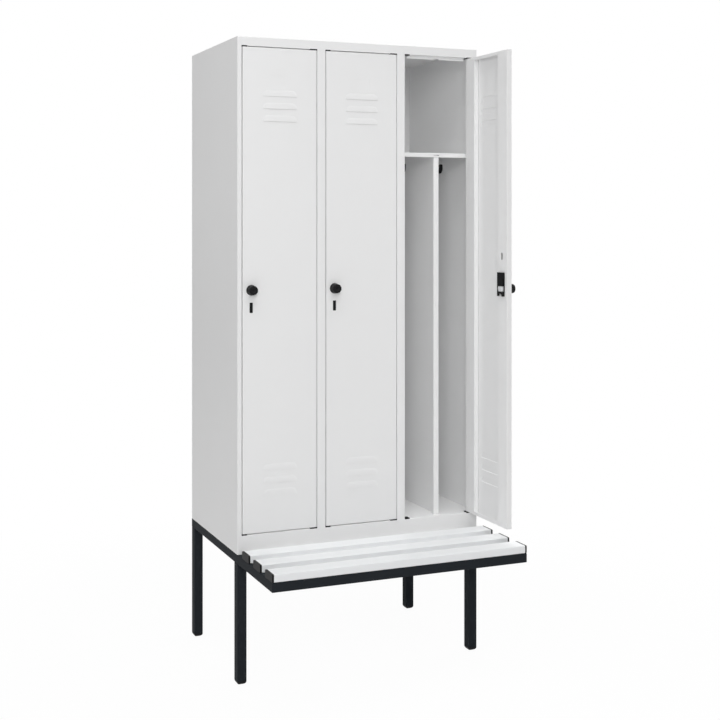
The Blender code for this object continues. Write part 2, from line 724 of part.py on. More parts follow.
def lock_cam():
    """Latch cam: a hub and an arm that points up while the door is unlocked."""
    front = cam_front()
    back = front + CAM_THICKNESS
    arm = prism(rounded_rectangle((-CAM_WIDTH / 2, 0), (CAM_WIDTH / 2, CAM_REACH), CAM_WIDTH / 4),
                "y", front, back)
    hub = rod(CAM_HUB_RADIUS, "y", (0, 0), front, back, ROUND_STEPS + SCREW_STEPS)
    socket = rod(CAM_SCREW_RADIUS, "y", (0, 0), back - CAM_SCREW_DEPTH, back + OVERRUN, SCREW_STEPS)
    return cut(join(hub, arm), socket)


def lock_housing():
    """Lock case on the inside of the door, with a window, a notch and a slot for the cam."""
    half = HOUSING_WIDTH / 2
    front = DOOR_BACK + GAP
    back = front + HOUSING_RISE
    shell = bevelled(box((-half, front, -HOUSING_BELOW), (half, back, HOUSING_ABOVE)), HOUSING_EDGE_RADIUS,
                     BEND_STEPS, lambda edge: max(vert.co.y for vert in edge.verts) > front + HOUSING_RISE / 2)
    hollow = box((-half + HOUSING_WALL, front + HOUSING_BASE, -HOUSING_BELOW + HOUSING_WALL),
                 (half - HOUSING_WALL, back - HOUSING_WALL, HOUSING_ABOVE - HOUSING_WALL))
    bore = rod(SPINDLE_RADIUS + RUNNING_GAP, "y", (0, 0), front - OVERRUN, front + HOUSING_BASE + OVERRUN / 2)
    window = box((-HOUSING_WINDOW_WIDTH / 2, back - OVERRUN, -HOUSING_WINDOW_HEIGHT / 2),
                 (HOUSING_WINDOW_WIDTH / 2, back + OVERRUN, HOUSING_WINDOW_HEIGHT / 2))
    notch = rod(HOUSING_NOTCH_RADIUS, "y", (0, -HOUSING_BELOW), front - OVERRUN, back + OVERRUN)
    cam = cam_front()
    corner_reach = math.hypot(CAM_REACH, CAM_WIDTH / 2)
    sweep = math.sqrt(corner_reach ** 2 - (half - HOUSING_WALL) ** 2) + GAP
    latch_slot = box((-half - OVERRUN, cam - 2 * GAP, -CAM_WIDTH / 2 - 2 * GAP),
                     (-half + 2 * HOUSING_WALL, cam + CAM_THICKNESS + 2 * GAP, sweep))
    return cut(shell, hollow, bore, window, notch, latch_slot)


def staple_guide():
    """Insert that fills the slot under the knob, held by a flange behind the face sheet."""
    slot_half = (STAPLE_SLOT_WIDTH / 2 - GAP, STAPLE_SLOT_HEIGHT / 2 - GAP)
    flange_half = (slot_half[0] + STAPLE_FLANGE, slot_half[1] + STAPLE_FLANGE)
    behind = DOOR_FRONT + SHEET + GAP
    plug = prism(rounded_rectangle((-slot_half[0], -slot_half[1]), slot_half, STAPLE_SLOT_WIDTH / 3),
                 "y", DOOR_FRONT + GAP, behind + STAPLE_REACH)
    flange = prism(rounded_rectangle((-flange_half[0], -flange_half[1]), flange_half,
                                     STAPLE_SLOT_WIDTH / 3), "y", behind, behind + STAPLE_FLANGE_THICKNESS)
    groove_top = slot_half[1] - STAPLE_GROOVE_MARGIN
    groove = box((-STAPLE_GROOVE_WIDTH / 2, DOOR_FRONT - OVERRUN, -groove_top),
                 (STAPLE_GROOVE_WIDTH / 2, DOOR_FRONT + STAPLE_GROOVE_DEPTH, groove_top))
    return cut(join(plug, flange), groove)


# Base, in world coordinates

def tube_rings(side, wall):
    """Outer and inner outline of the square tube about its own middle."""
    half = side / 2
    outer = rounded_rectangle((-half, -half), (half, half), TUBE_CORNER_RADIUS)
    inner_half = half - wall
    inner = rounded_rectangle((-inner_half, -inner_half), (inner_half, inner_half),
                              TUBE_CORNER_RADIUS - wall / 2)
    return outer, inner


def tube(axis, centre, start, end, mitre=(0, 0), side=TUBE):
    """Square tube along an axis. A mitre of 1 or -1 cuts an end at 45 degrees."""
    place = AXIS_ORDER[axis]
    shape = bmesh.new()
    loops = []
    for outline in tube_rings(side, TUBE_WALL):
        for along, slope in ((start, mitre[0]), (end, mitre[1])):
            loops.append([shape.verts.new(place(u + centre[0], v + centre[1], along + slope * u))
                          for u, v in outline])
    outer_start, outer_end, inner_start, inner_end = loops
    count = len(outer_start)
    for first, second in ((outer_start, outer_end), (outer_end, inner_end),
                          (inner_end, inner_start), (inner_start, outer_start)):
        for index in range(count):
            after = (index + 1) % count
            shape.faces.new((first[index], first[after], second[after], second[index]))
    bmesh.ops.recalc_face_normals(shape, faces=shape.faces)
    return mesh_of(shape)


def slat_middles():
    """The middle of each slat in y, front slat first."""
    first = BENCH_FRONT + SLAT_WIDTH / 2
    return [first + number * SLAT_PITCH for number in range(SLAT_COUNT)]


def screw_places():
    """All places on the side rails, as world x and y."""
    x = HALF_WIDTH - TUBE / 2
    along = slat_middles() + [BODY_FRONT + BODY_DEPTH * share for share in CABINET_SCREW_SHARES]
    return [(side * x, y) for side in (-1, 1) for y in along]


def screw():
    """Screw from below: its head against z = 0, the shank above."""
    head = rod(SCREW_HEAD_RADIUS, "z", (0, 0), -SCREW_HEAD_HEIGHT, SCREW_HEAD_HEIGHT / 4, ROUND_STEPS)
    shank = rod(SCREW_RADIUS, "z", (0, 0), -SCREW_HEAD_HEIGHT / 2, TUBE + SCREW_BITE, SCREW_STEPS)
    return join(head, shank)


def side_rail(side):
    screws = gathered([moved(screw(), (x, y, TUBE_BOTTOM)) for x, y in screw_places() if x * side > 0])
    middle = (side * (HALF_WIDTH - TUBE / 2), (TUBE_BOTTOM + TUBE_TOP) / 2)
    start = BENCH_FRONT + TUBE / 2 + GAP
    end = BODY_REAR - TUBE / 2 - GAP
    return join(tube("y", middle, start, end, (-side, side)), screws)


def cross_tube(y, at_rear):
    """Full-width tube, mitred to the side rails at both ends."""
    lean = -1 if at_rear else 1
    middle = (y, (TUBE_BOTTOM + TUBE_TOP) / 2)
    reach = HALF_WIDTH - TUBE / 2
    return tube("x", middle, -reach, reach, (lean, -lean))


def seat_tube(y):
    """Tube between the side rails."""
    reach = HALF_WIDTH - TUBE - GAP
    return tube("x", (y, (TUBE_BOTTOM + TUBE_TOP) / 2), -reach, reach)


def foot_cap():
    """Plug under a leg: a domed head that carries the tube, and a hollow plug inside it."""
    half = LEG_TUBE / 2
    sections = []
    for step in range(FOOT_STEPS + 1):
        turn = step / FOOT_STEPS * math.pi / 2
        reach = half - FOOT_DOME_RADIUS * (1 - math.sin(turn))
        sections.append((reach, FOOT_DOME_RADIUS * (1 - math.cos(turn))))
    sections.append((half, FOOT_HEIGHT))
    head = loft([[(x, y, z) for x, y in rounded_rectangle((-reach, -reach), (reach, reach), TUBE_CORNER_RADIUS)]
                 for reach, z in sections])
    plug_half = half - TUBE_WALL - GAP
    plug = box((-plug_half, -plug_half, FOOT_HEIGHT / 2), (plug_half, plug_half, FOOT_HEIGHT + FOOT_PLUG_LENGTH))
    hollow_half = plug_half - FOOT_PLUG_WALL
    hollow = box((-hollow_half, -hollow_half, FOOT_HEIGHT),
                 (hollow_half, hollow_half, FOOT_HEIGHT + FOOT_PLUG_LENGTH + OVERRUN))
    plug = bevelled(plug, TUBE_CORNER_RADIUS - TUBE_WALL / 2, 1,
                    lambda edge: abs(edge.verts[0].co.z - edge.verts[1].co.z) > FOOT_HEIGHT / 2)
    return cut(join(head, plug), hollow)


def slat_cells(inset):
    """The two hollow cells across a slat, as low and high corners in y and z."""
    half = SLAT_WIDTH / 2
    low = SLAT_WALL + inset
    high = SLAT_HEIGHT - SLAT_WALL - inset
    rib = SLAT_WALL / 2 + inset
    return [((-half + SLAT_WALL + inset, low), (-rib, high)), ((rib, low), (half - SLAT_WALL - inset, high))]


def slat_outline():
    return rounded_rectangle((-SLAT_WIDTH / 2, 0), (SLAT_WIDTH / 2, SLAT_HEIGHT), SLAT_EDGE_RADIUS)


def slat():
    reach = HALF_WIDTH - CAP_THICKNESS - GAP
    body = prism(slat_outline(), "x", -reach, reach)
    cells = [prism(rectangle(low, high), "x", -reach - OVERRUN, reach + OVERRUN)
             for low, high in slat_cells(0)]
    holes = gathered([rod(SCREW_RADIUS + GAP, "z", (side * (HALF_WIDTH - TUBE / 2), 0), -OVERRUN,
                          SLAT_HEIGHT / 2) for side in (-1, 1)])
    return cut(body, gathered(cells), holes)


def slat_cap():
    """Right-hand end cap: a cover plate and two plugs for the slat's cells."""
    plate = prism(slat_outline(), "x", HALF_WIDTH - CAP_THICKNESS, HALF_WIDTH)
    plugs = []
    for low, high in slat_cells(GAP):
        plugs.append(prism(rectangle(low, high), "x", HALF_WIDTH - CAP_THICKNESS - CAP_PLUG_LENGTH,
                           HALF_WIDTH - CAP_THICKNESS / 2))
    hollows = []
    for low, high in slat_cells(GAP + CAP_PLUG_WALL):
        hollows.append(prism(rectangle(low, high), "x",
                             HALF_WIDTH - CAP_THICKNESS - CAP_PLUG_LENGTH - OVERRUN,
                             HALF_WIDTH - CAP_THICKNESS))
    return cut(join(plate, gathered(plugs)), gathered(hollows))


# Assembly

def build_body(cabinet):
    paint = "light_grey_powder"
    left_side = side_panel()
    add("side_left", left_side, paint, cabinet)
    add("side_right", mirrored(left_side), paint, cabinet)
    add("roof", roof(), paint, cabinet)
    add("floor_pan", floor_pan(), paint, cabinet)
    add("back_panel", back_panel(), paint, cabinet)
    wall = divider()
    post = middle_stile()
    for number in range(1, BAY_COUNT):
        x = -HALF_WIDTH + number * BAY_PITCH
        add(f"divider_{number}", wall, paint, cabinet, (x, 0, 0))
        add(f"middle_stile_{number}", post, paint, cabinet, (x, 0, 0))
    hook = coat_hook()
    centre_wall = partition()
    for bay in range(BAY_COUNT):
        middle = sum(bay_edges(bay)) / 2
        add(f"hat_shelf_{bay + 1}", hat_shelf(bay), paint, cabinet)
        add(f"partition_{bay + 1}", centre_wall, paint, cabinet, (middle, 0, 0))
        left, right = bay_walls(bay)
        for side, place in enumerate(((left + middle) / 2, (middle + right) / 2)):
            add(f"coat_hook_{2 * bay + side + 1}", hook, "black_plastic", cabinet,
                (place, 0, SHELF_HEIGHT - SHEET - GAP), smooth=True)


def build_doors(cabinet):
    for bay in range(BAY_COUNT):
        number = bay + 1
        axis = (*hinge_place(bay), BOTTOM_RAIL_HEIGHT + DOOR_GAP)
        hinge = holder(f"hinge_axis_{number}", axis, cabinet)
        hinge.rotation_euler.z = REST_ANGLES[bay]
        lock_x, lock_z = lock_place(bay)
        add(f"door_{number}", door(bay), "light_grey_powder", hinge)
        add(f"lock_housing_{number}", lock_housing(), "black_plastic", hinge, (lock_x, 0, lock_z))
        add(f"staple_guide_{number}", staple_guide(), "black_plastic", hinge,
            (lock_x, 0, lock_z - STAPLE_SLOT_DROP))
        axle = holder(f"knob_axis_{number}", (lock_x, 0, lock_z), hinge)
        add(f"knob_{number}", knob(), "black_plastic", axle, smooth=True)
        add(f"lock_cam_{number}", lock_cam(), "zinc", axle)


def build_base():
    paint = "black_powder"
    add("left_rail", side_rail(-1), paint)
    add("right_rail", side_rail(1), paint)
    add("front_rail", cross_tube(BENCH_FRONT + TUBE / 2, False), paint)
    add("rear_rail", cross_tube(BODY_REAR - TUBE / 2, True), paint)
    add("cross_rail", seat_tube(BODY_FRONT + TUBE / 2), paint)
    leg = tube("z", (0, 0), FOOT_HEIGHT + GAP, TUBE_BOTTOM - GAP, side=LEG_TUBE)
    foot = foot_cap()
    reach = HALF_WIDTH - LEG_TUBE / 2
    rows = (BODY_FRONT + LEG_TUBE / 2, BODY_REAR - LEG_TUBE / 2)
    corners = [(side * reach, y) for y in rows for side in (-1, 1)]
    for number, (x, y) in enumerate(corners, start=1):
        add(f"leg_{number}", leg, paint, None, (x, y, 0))
        add(f"foot_cap_{number}", foot, "black_plastic", None, (x, y, 0))


def build_bench():
    board = slat()
    right_cap = slat_cap()
    left_cap = mirrored(right_cap)
    for number, y in enumerate(slat_middles(), start=1):
        place = (0, y, TUBE_TOP + GAP)
        add(f"slat_{number}", board, "light_plastic", None, place)
        add(f"slat_cap_left_{number}", left_cap, "black_plastic", None, place)
        add(f"slat_cap_right_{number}", right_cap, "black_plastic", None, place)


for old in list(bpy.data.objects):
    bpy.data.objects.remove(old)

cabinet_frame = holder("cabinet_frame", (0, BODY_FRONT, BASE_HEIGHT + GAP))
build_body(cabinet_frame)
build_doors(cabinet_frame)
build_base()
build_bench()
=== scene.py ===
from math import acos, asin, atan2, cos, hypot, pi, radians, sin, sqrt

import bpy
import bmesh
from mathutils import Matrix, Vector


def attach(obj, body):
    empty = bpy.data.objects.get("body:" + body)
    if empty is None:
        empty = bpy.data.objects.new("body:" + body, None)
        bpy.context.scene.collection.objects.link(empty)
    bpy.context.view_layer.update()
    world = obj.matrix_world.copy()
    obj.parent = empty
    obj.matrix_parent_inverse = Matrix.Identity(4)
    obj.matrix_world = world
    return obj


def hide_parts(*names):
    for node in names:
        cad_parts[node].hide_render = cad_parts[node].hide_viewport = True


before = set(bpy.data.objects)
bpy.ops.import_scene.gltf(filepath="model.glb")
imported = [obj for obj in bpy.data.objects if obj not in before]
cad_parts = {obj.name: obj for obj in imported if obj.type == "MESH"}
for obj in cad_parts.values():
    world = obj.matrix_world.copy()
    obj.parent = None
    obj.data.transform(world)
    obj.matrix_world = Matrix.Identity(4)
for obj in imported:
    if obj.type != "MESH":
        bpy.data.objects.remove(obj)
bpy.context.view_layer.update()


# Shader tools: a wire is an output socket that can be used in sums

class Wire:
    def __init__(self, tree, socket):
        self.tree = tree
        self.socket = socket

    def pick(self, name):
        return Wire(self.tree, self.socket.node.outputs[name])

    def maths(self, operation, first, second):
        return self.tree.node("ShaderNodeMath", {"operation": operation}, {0: first, 1: second})

    def __add__(self, other):
        return self.maths("ADD", self, other)

    __radd__ = __add__

    def __sub__(self, other):
        return self.maths("SUBTRACT", self, other)

    def __rsub__(self, other):
        return self.maths("SUBTRACT", other, self)

    def __mul__(self, other):
        return self.maths("MULTIPLY", self, other)

    __rmul__ = __mul__


class Tree:
    def __init__(self, owner):
        owner.use_nodes = True
        self.owner = owner
        self.inner = owner.node_tree
        self.inner.nodes.clear()

    def node(self, kind, settings=None, sockets=None, output=0):
        made = self.inner.nodes.new(kind)
        for name, value in (settings or {}).items():
            setattr(made, name, value)
        for name, value in (sockets or {}).items():
            if isinstance(value, Wire):
                self.inner.links.new(value.socket, made.inputs[name])
            else:
                made.inputs[name].default_value = value
        return Wire(self, made.outputs[output]) if made.outputs else None

    def place(self):
        return self.node("ShaderNodeTexCoord").pick("Object")

    def noise(self, place, scale, detail=2.0, roughness=0.5):
        return self.node("ShaderNodeTexNoise", None,
                         {"Vector": place, "Scale": scale, "Detail": detail, "Roughness": roughness})

    def stretched(self, place, by):
        return self.node("ShaderNodeVectorMath", {"operation": "MULTIPLY"}, {0: place, 1: by})

    def blended(self, factor, first, second):
        return self.node("ShaderNodeMix", {"data_type": "RGBA"},
                         {0: factor, 6: (*first, 1), 7: (*second, 1)}, 2)

    def bump(self, height):
        return self.node("ShaderNodeBump", None, {"Height": height, "Strength": 1.0, "Distance": 1.0})

    def seen(self):
        # camera, glossy and transmission rays
        path = self.node("ShaderNodeLightPath")
        return path.pick("Is Camera Ray") + path.pick("Is Glossy Ray") + path.pick("Is Transmission Ray")

    def surface(self, sockets):
        shader = self.node("ShaderNodeBsdfPrincipled", None, sockets)
        self.node("ShaderNodeOutputMaterial", None, {"Surface": shader})
        return self.owner


def newTree(name):
    tree = Tree(bpy.data.materials.new(name))
    return tree, tree.place()


# Finishes: each goes between a dark and a light colour, by noises that swing about their mean

noiseMean = 0.5
powderMix = {"clouds": 0.7, "specks": 0.5, "lowered": 0.1}
greyPowderLook = {
    "dark": (0.852, 0.853, 0.854), "light": (0.876, 0.877, 0.878), "metallic": 0.0, "specular": 0.40,
    "cloudScale": 5.0, "speckScale": 700.0, "roughness": 0.40, "roughnessSpread": 0.12,
    "peelScale": 420.0, "peelDepth": 0.00006, "waveScale": 3.5, "waveDepth": 0.0006,
}
blackPowderLook = {
    "dark": (0.0190, 0.0222, 0.0260), "light": (0.0250, 0.0285, 0.0330), "metallic": 0.0, "specular": 0.012,
    "cloudScale": 9.0, "speckScale": 900.0, "roughness": 0.42, "roughnessSpread": 0.16,
    "peelScale": 520.0, "peelDepth": 0.00008, "waveScale": 6.0, "waveDepth": 0.0002,
}


def finished(tree, look, share, gloss, height):
    # colour and gloss follow a mask each, and the height is a relief in metres
    return tree.surface({
        "Base Color": tree.blended(share, look["dark"], look["light"]),
        "Metallic": look["metallic"],
        "Roughness": look["roughness"] + (gloss - noiseMean) * look["roughnessSpread"],
        "Specular IOR Level": look["specular"],
        "Normal": tree.bump(height),
    })


def powderCoat(name, look):
    # sprayed coat: orange-peel bump, faint clouds in the colour, and a slow wave in the sheet below
    tree, place = newTree(name)
    clouds = tree.noise(place, look["cloudScale"], detail=3.0, roughness=0.55)
    specks = tree.noise(place, look["speckScale"], detail=1.0)
    peel = tree.noise(place, look["peelScale"], detail=2.0, roughness=0.45)
    wave = tree.noise(place, look["waveScale"], detail=1.0)
    share = clouds * powderMix["clouds"] + specks * powderMix["specks"] - powderMix["lowered"]
    return finished(tree, look, share, peel, peel * look["peelDepth"] + wave * look["waveDepth"])


blackPlasticLook = {
    "dark": (0.0070, 0.0070, 0.0075), "light": (0.0150, 0.0150, 0.0160), "metallic": 0.0, "specular": 0.10,
    "grainScale": 1100.0, "grainDepth": 0.00005, "grainShare": 0.6, "mouldScale": 60.0,
    "roughness": 0.46, "roughnessSpread": 0.20,
}


def grainedPlastic(name, look):
    # moulded plastic with a fine eroded grain
    tree, place = newTree(name)
    grain = tree.noise(place, look["grainScale"], detail=3.0, roughness=0.6)
    mould = tree.noise(place, look["mouldScale"], detail=2.0)
    share = grain * look["grainShare"] + mould * (1 - look["grainShare"])
    return finished(tree, look, share, grain, grain * look["grainDepth"])


slatPlasticLook = {
    "dark": (0.840, 0.852, 0.862), "light": (0.860, 0.872, 0.882), "metallic": 0.0, "specular": 0.40,
    "lineStretch": (1.5, 900.0, 900.0), "lineDepth": 0.000006, "lineShare": 0.5, "cloudScale": 12.0,
    "roughness": 0.46, "roughnessSpread": 0.10,
}


def drawnPlastic(name, look):
    # extruded plastic: die lines along the slat
    tree, place = newTree(name)
    lines = tree.noise(tree.stretched(place, look["lineStretch"]), 1.0, detail=2.0, roughness=0.6)
    clouds = tree.noise(place, look["cloudScale"], detail=3.0)
    share = lines * look["lineShare"] + clouds * (1 - look["lineShare"])
    return finished(tree, look, share, lines, lines * look["lineDepth"])


zincLook = {
    "dark": (0.70, 0.71, 0.73), "light": (0.90, 0.91, 0.92), "metallic": 0.12, "specular": 0.5,
    "spangleScale": 420.0, "crystalShare": 0.7, "brushStretch": (60.0, 60.0, 2600.0), "brushDepth": 0.00002,
    "roughness": 0.36, "roughnessSpread": 0.22,
}


def galvanised(name, look):
    # zinc crystals, each with its own tone and gloss, under fine brush marks
    tree, place = newTree(name)
    cells = tree.node("ShaderNodeTexVoronoi", None, {"Vector": place, "Scale": look["spangleScale"]})
    tone = tree.node("ShaderNodeSeparateColor", None, {"Color": cells.pick("Color")})
    brush = tree.noise(tree.stretched(place, look["brushStretch"]), 1.0, detail=2.0)
    share = tone * look["crystalShare"] + brush * (1 - look["crystalShare"])
    return finished(tree, look, share, tone, brush * look["brushDepth"])


finishes = {
    "light_grey_powder": powderCoat("greyPowderCoat", greyPowderLook),
    "black_powder": powderCoat("blackPowderCoat", blackPowderLook),
    "black_plastic": grainedPlastic("blackMouldedPlastic", blackPlasticLook),
    "light_plastic": drawnPlastic("lightSlatPlastic", slatPlasticLook),
    "zinc": galvanised("brightZinc", zincLook),
}
print("finishes made:", len(finishes))


# Mesh tools

making = {
    "bendSteps": 4, "roundSteps": 32, "boreSteps": 24, "overrun": 0.01, "gap": 0.0003, "sheet": 0.001,
    "bend": 0.0005, "crease": 38,
}
gap = making["gap"]
sheet = making["sheet"]
boreSteps = making["boreSteps"]
overrun = making["overrun"]

axisOrder = {
    "x": lambda u, v, along: (along, u, v),
    "y": lambda u, v, along: (u, along, v),
    "z": lambda u, v, along: (u, v, along),
}


def arcPoints(centre, radius, start, end, steps):
    angles = [start + (end - start) * step / steps for step in range(steps + 1)]
    return [(centre[0] + radius * cos(a), centre[1] + radius * sin(a)) for a in angles]


def rectanglePoints(low, high):
    return [(low[0], low[1]), (high[0], low[1]), (high[0], high[1]), (low[0], high[1])]


def roundedPoints(low, high, radius, steps=making["bendSteps"]):
    corners = [(high[0] - radius, high[1] - radius), (low[0] + radius, high[1] - radius),
               (low[0] + radius, low[1] + radius), (high[0] - radius, low[1] + radius)]
    outline = []
    for quarter, corner in enumerate(corners):
        start = quarter * pi / 2
        outline += arcPoints(corner, radius, start, start + pi / 2, steps)
    return outline


def roundedAround(wide, high, radius, steps=making["bendSteps"], centre=(0, 0)):
    # wide and high are measured from the centre
    x, y = centre
    return roundedPoints((x - wide, y - high), (x + wide, y + high), radius, steps)


def quarterTurn(steps, first=0):
    return [step / steps * pi / 2 for step in range(first, steps + 1)]


def leftNormal(first, second):
    run = Vector(second) - Vector(first)
    return Vector((-run.y, run.x)).normalized()


def bentLine(points, offset):
    # the line at an offset to the left of a folded sheet's outer face, its bends rounded
    line = []
    last = len(points) - 1
    for index, point in enumerate(points):
        before = leftNormal(points[index - 1], point) if index else None
        after = leftNormal(point, points[index + 1]) if index < last else None
        if before is None or after is None:
            line.append(tuple(Vector(point) + (after or before) * offset))
            continue
        turnsLeft = before.x * after.y - before.y * after.x > 0
        radius = making["bend"] if turnsLeft == (offset > 0) else making["bend"] + sheet
        side = 1 if turnsLeft else -1
        middle = Vector(point) + (before + after) * (offset + side * radius) / (1 + before.dot(after))
        start = atan2(-side * before.y, -side * before.x)
        turn = side * acos(max(-1, min(1, before.dot(after))))
        line += arcPoints(middle, radius, start, start + turn, making["bendSteps"])
    return line


def meshOf(shape):
    mesh = bpy.data.meshes.new("shape")
    shape.to_mesh(mesh)
    shape.free()
    return mesh


def linked(name, data):
    made = bpy.data.objects.new(name, data)
    bpy.context.scene.collection.objects.link(made)
    return made


def loft(rings, around=False):
    # a skin through rings of equally many points, closed by two ends or around to the first ring
    shape = bmesh.new()
    rows = [[shape.verts.new(point) for point in ring] for ring in rings]
    count = len(rows[0])
    for low, high in zip(rows, rows[1:] + (rows[:1] if around else [])):
        for index in range(count):
            after = (index + 1) % count
            shape.faces.new((low[index], low[after], high[after], high[index]))
    if not around:
        shape.faces.new(rows[0])
        shape.faces.new(rows[-1])
    bmesh.ops.recalc_face_normals(shape, faces=shape.faces)
    return meshOf(shape)


def ringAt(outline, axis, along):
    return [axisOrder[axis](u, v, along) for u, v in outline]


def prism(outline, axis, start, end):
    return loft([ringAt(outline, axis, start), ringAt(outline, axis, end)])


def folded(points, axis, start, end):
    return prism(bentLine(points, 0) + bentLine(points, sheet)[::-1], axis, start, end)


def softBlock(wide, high, corner, start, end, centre=(0, 0)):
    # a block along y with rounded corners
    return prism(roundedAround(wide, high, corner, centre=centre), "y", start, end)


def box(low, high):
    return prism(rectanglePoints(low[:2], high[:2]), "z", low[2], high[2])


def rod(radius, axis, centre, start, end, steps=making["roundSteps"]):
    return prism(arcPoints(centre, radius, 0, 2 * pi, steps)[:-1], axis, start, end)


def shapeOf(*meshes):
    shape = bmesh.new()
    for mesh in meshes:
        shape.from_mesh(mesh)
    return shape


def gathered(meshes):
    return meshOf(shapeOf(*meshes))


def combined(mesh, others, operation):
    target = linked("target", mesh)
    helpers = [linked("helper", other) for other in others]
    for helper in helpers:
        step = target.modifiers.new("cut", "BOOLEAN")
        step.operation = operation
        step.solver = "EXACT"
        step.object = helper
    graph = bpy.context.evaluated_depsgraph_get()
    result = bpy.data.meshes.new_from_object(target.evaluated_get(graph))
    for helper in [target, *helpers]:
        bpy.data.objects.remove(helper)
    return result


def carved(mesh, *others):
    return combined(mesh, others, "DIFFERENCE")


def welded(mesh, *others):
    return combined(mesh, others, "UNION")


def rounded(mesh, width, steps=3, chosen=None, sharpest=40):
    shape = shapeOf(mesh)
    edges = [edge for edge in shape.edges
             if edge.calc_face_angle(0) > radians(sharpest) and (chosen is None or chosen(edge))]
    bmesh.ops.bevel(shape, geom=edges, offset=width, segments=steps, profile=0.5,
                    affect="EDGES", clamp_overlap=True)
    return meshOf(shape)


def flipped(mesh, axis="x", total=0.0):
    # the mesh seen in a mirror across an axis, which stands at half the total
    shape = shapeOf(mesh)
    for vert in shape.verts:
        setattr(vert.co, axis, total - getattr(vert.co, axis))
    bmesh.ops.reverse_faces(shape, faces=shape.faces)
    return meshOf(shape)


def shifted(mesh, by):
    copy = mesh.copy()
    for vert in copy.vertices:
        vert.co += Vector(by)
    return copy


def sweep(path, sections):
    # a skin that follows a path in the y-z plane; each section is (across, along the normal)
    rings = []
    for index, point in enumerate(path):
        before = Vector(path[max(index - 1, 0)])
        after = Vector(path[min(index + 1, len(path) - 1)])
        run = (after - before).normalized()
        normal = Vector((-run.y, run.x))
        rings.append([(across, point[0] + normal.x * out, point[1] + normal.y * out)
                      for across, out in sections[index]])
    return loft(rings)


counts = {"pieces": 0}


def addPiece(name, mesh, slot, body, nodes, place, turn=0.0, crease=making["crease"]):
    own = mesh.copy()
    own.name = name
    own.materials.clear()
    own.materials.append(finishes[slot])
    own.shade_smooth()
    own.set_sharp_from_angle(angle=radians(crease))
    made = linked(name, own)
    made.location = place
    made.rotation_euler.z = turn
    even = made.modifiers.new("evenShading", "WEIGHTED_NORMAL")
    even.keep_sharp = True
    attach(made, body)
    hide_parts(*nodes)
    counts["pieces"] += 1


# Cabinet, in its own coordinates: y = 0 is the front plane, z = 0 the underside

cabinet = {
    "width": 0.900, "depth": 0.500, "height": 1.700, "front": -0.09375, "lift": 0.4283, "bays": 3,
    "outerStile": 0.015, "middleStile": 0.030, "topRail": 0.030, "bottomRail": 0.0625, "frameDepth": 0.021,
    "stopFlange": 0.010, "weldOverlap": 0.0009,
}
halfWidth = cabinet["width"] / 2
bays = range(cabinet["bays"])
bayPitch = cabinet["width"] / cabinet["bays"]
railUnderside = cabinet["height"] - cabinet["topRail"]
railTop = cabinet["bottomRail"]
frameDepth, stopFlange = cabinet["frameDepth"], cabinet["stopFlange"]
behindFlange = frameDepth + sheet + gap
backPanelRear = cabinet["depth"] - sheet - gap
innerRear = backPanelRear - sheet - gap
underRoof = cabinet["height"] - sheet - gap
innerReach = halfWidth - sheet - gap
cabinetPlace = (0.0, cabinet["front"], cabinet["lift"])
paint, plastic = "light_grey_powder", "black_plastic"


def addToCabinet(name, mesh, slot, node, place=cabinetPlace):
    addPiece(name, mesh, slot, "cabinet", [node], place)


def insideBay(bay, atSides, between):
    # a bay's left and right, less what stands at the cabinet's sides and between two bays
    left = -halfWidth + bay * bayPitch
    right = left + bayPitch
    return left + (between if bay else atSides), right - (between if bay < cabinet["bays"] - 1 else atSides)


def bayEdges(bay):
    # left and right edges of a door opening
    return insideBay(bay, cabinet["outerStile"], cabinet["middleStile"] / 2)


def bayWalls(bay):
    # inner faces of the walls beside a compartment
    return insideBay(bay, sheet, sheet / 2)


sidePanel = {"rearFlange": 0.015, "footFlange": 0.028, "screwShares": (0.25, 0.75), "screwHole": 0.0033}


def makeSidePanel():
    stile = -halfWidth + cabinet["outerStile"]
    skin = folded([(-halfWidth + sidePanel["rearFlange"], cabinet["depth"]), (-halfWidth, cabinet["depth"]),
                   (-halfWidth, 0), (stile, 0), (stile, frameDepth), (stile + stopFlange, frameDepth)],
                  "z", 0, underRoof)
    foot = box((-halfWidth + sheet / 2, behindFlange, 0),
               (-halfWidth + sidePanel["footFlange"], innerRear, sheet))
    holes = [rod(sidePanel["screwHole"], "z", (-halfWidth + tubeHalf, cabinet["depth"] * share),
                 -overrun, overrun) for share in sidePanel["screwShares"]]
    return carved(welded(skin, foot), *holes)


hole = {
    "blindLength": 0.019, "boredLength": 0.026, "depth": 0.030, "setback": 0.0014, "radius": 0.0010,
    "noseHeight": 0.0014,
}


def makeCornerHoles(low, high, noseLow, noseHigh):
    # holes for the plugs, each with a notch in the fold for the plug's nose
    holes, noses = [], []
    for bay in bays:
        left, right = bayEdges(bay)
        for start, end in ((left, left + hole["blindLength"]), (right - hole["boredLength"], right)):
            outline = roundedPoints((start, hole["setback"]), (end, hole["depth"]), hole["radius"], steps=2)
            holes.append(prism(outline, "z", low, high))
            noses.append(box((start, -overrun, noseLow), (end, hole["setback"] * 2, noseHigh)))
    return gathered(holes), gathered(noses)


def makeEndPockets(low, high, depth):
    # the rails run on over the stile's rounded fold, so the painted weld shows no seam
    inner = halfWidth - cabinet["outerStile"] + cabinet["weldOverlap"]
    outer = halfWidth + overrun
    return gathered([box((-outer, -overrun, low), (-inner, depth, high)),
                     box((inner, -overrun, low), (outer, depth, high))])


roofSheet = {"rearFlange": 0.018, "notchWidth": 0.018, "notchHeight": 0.003, "notchCorner": 0.001}


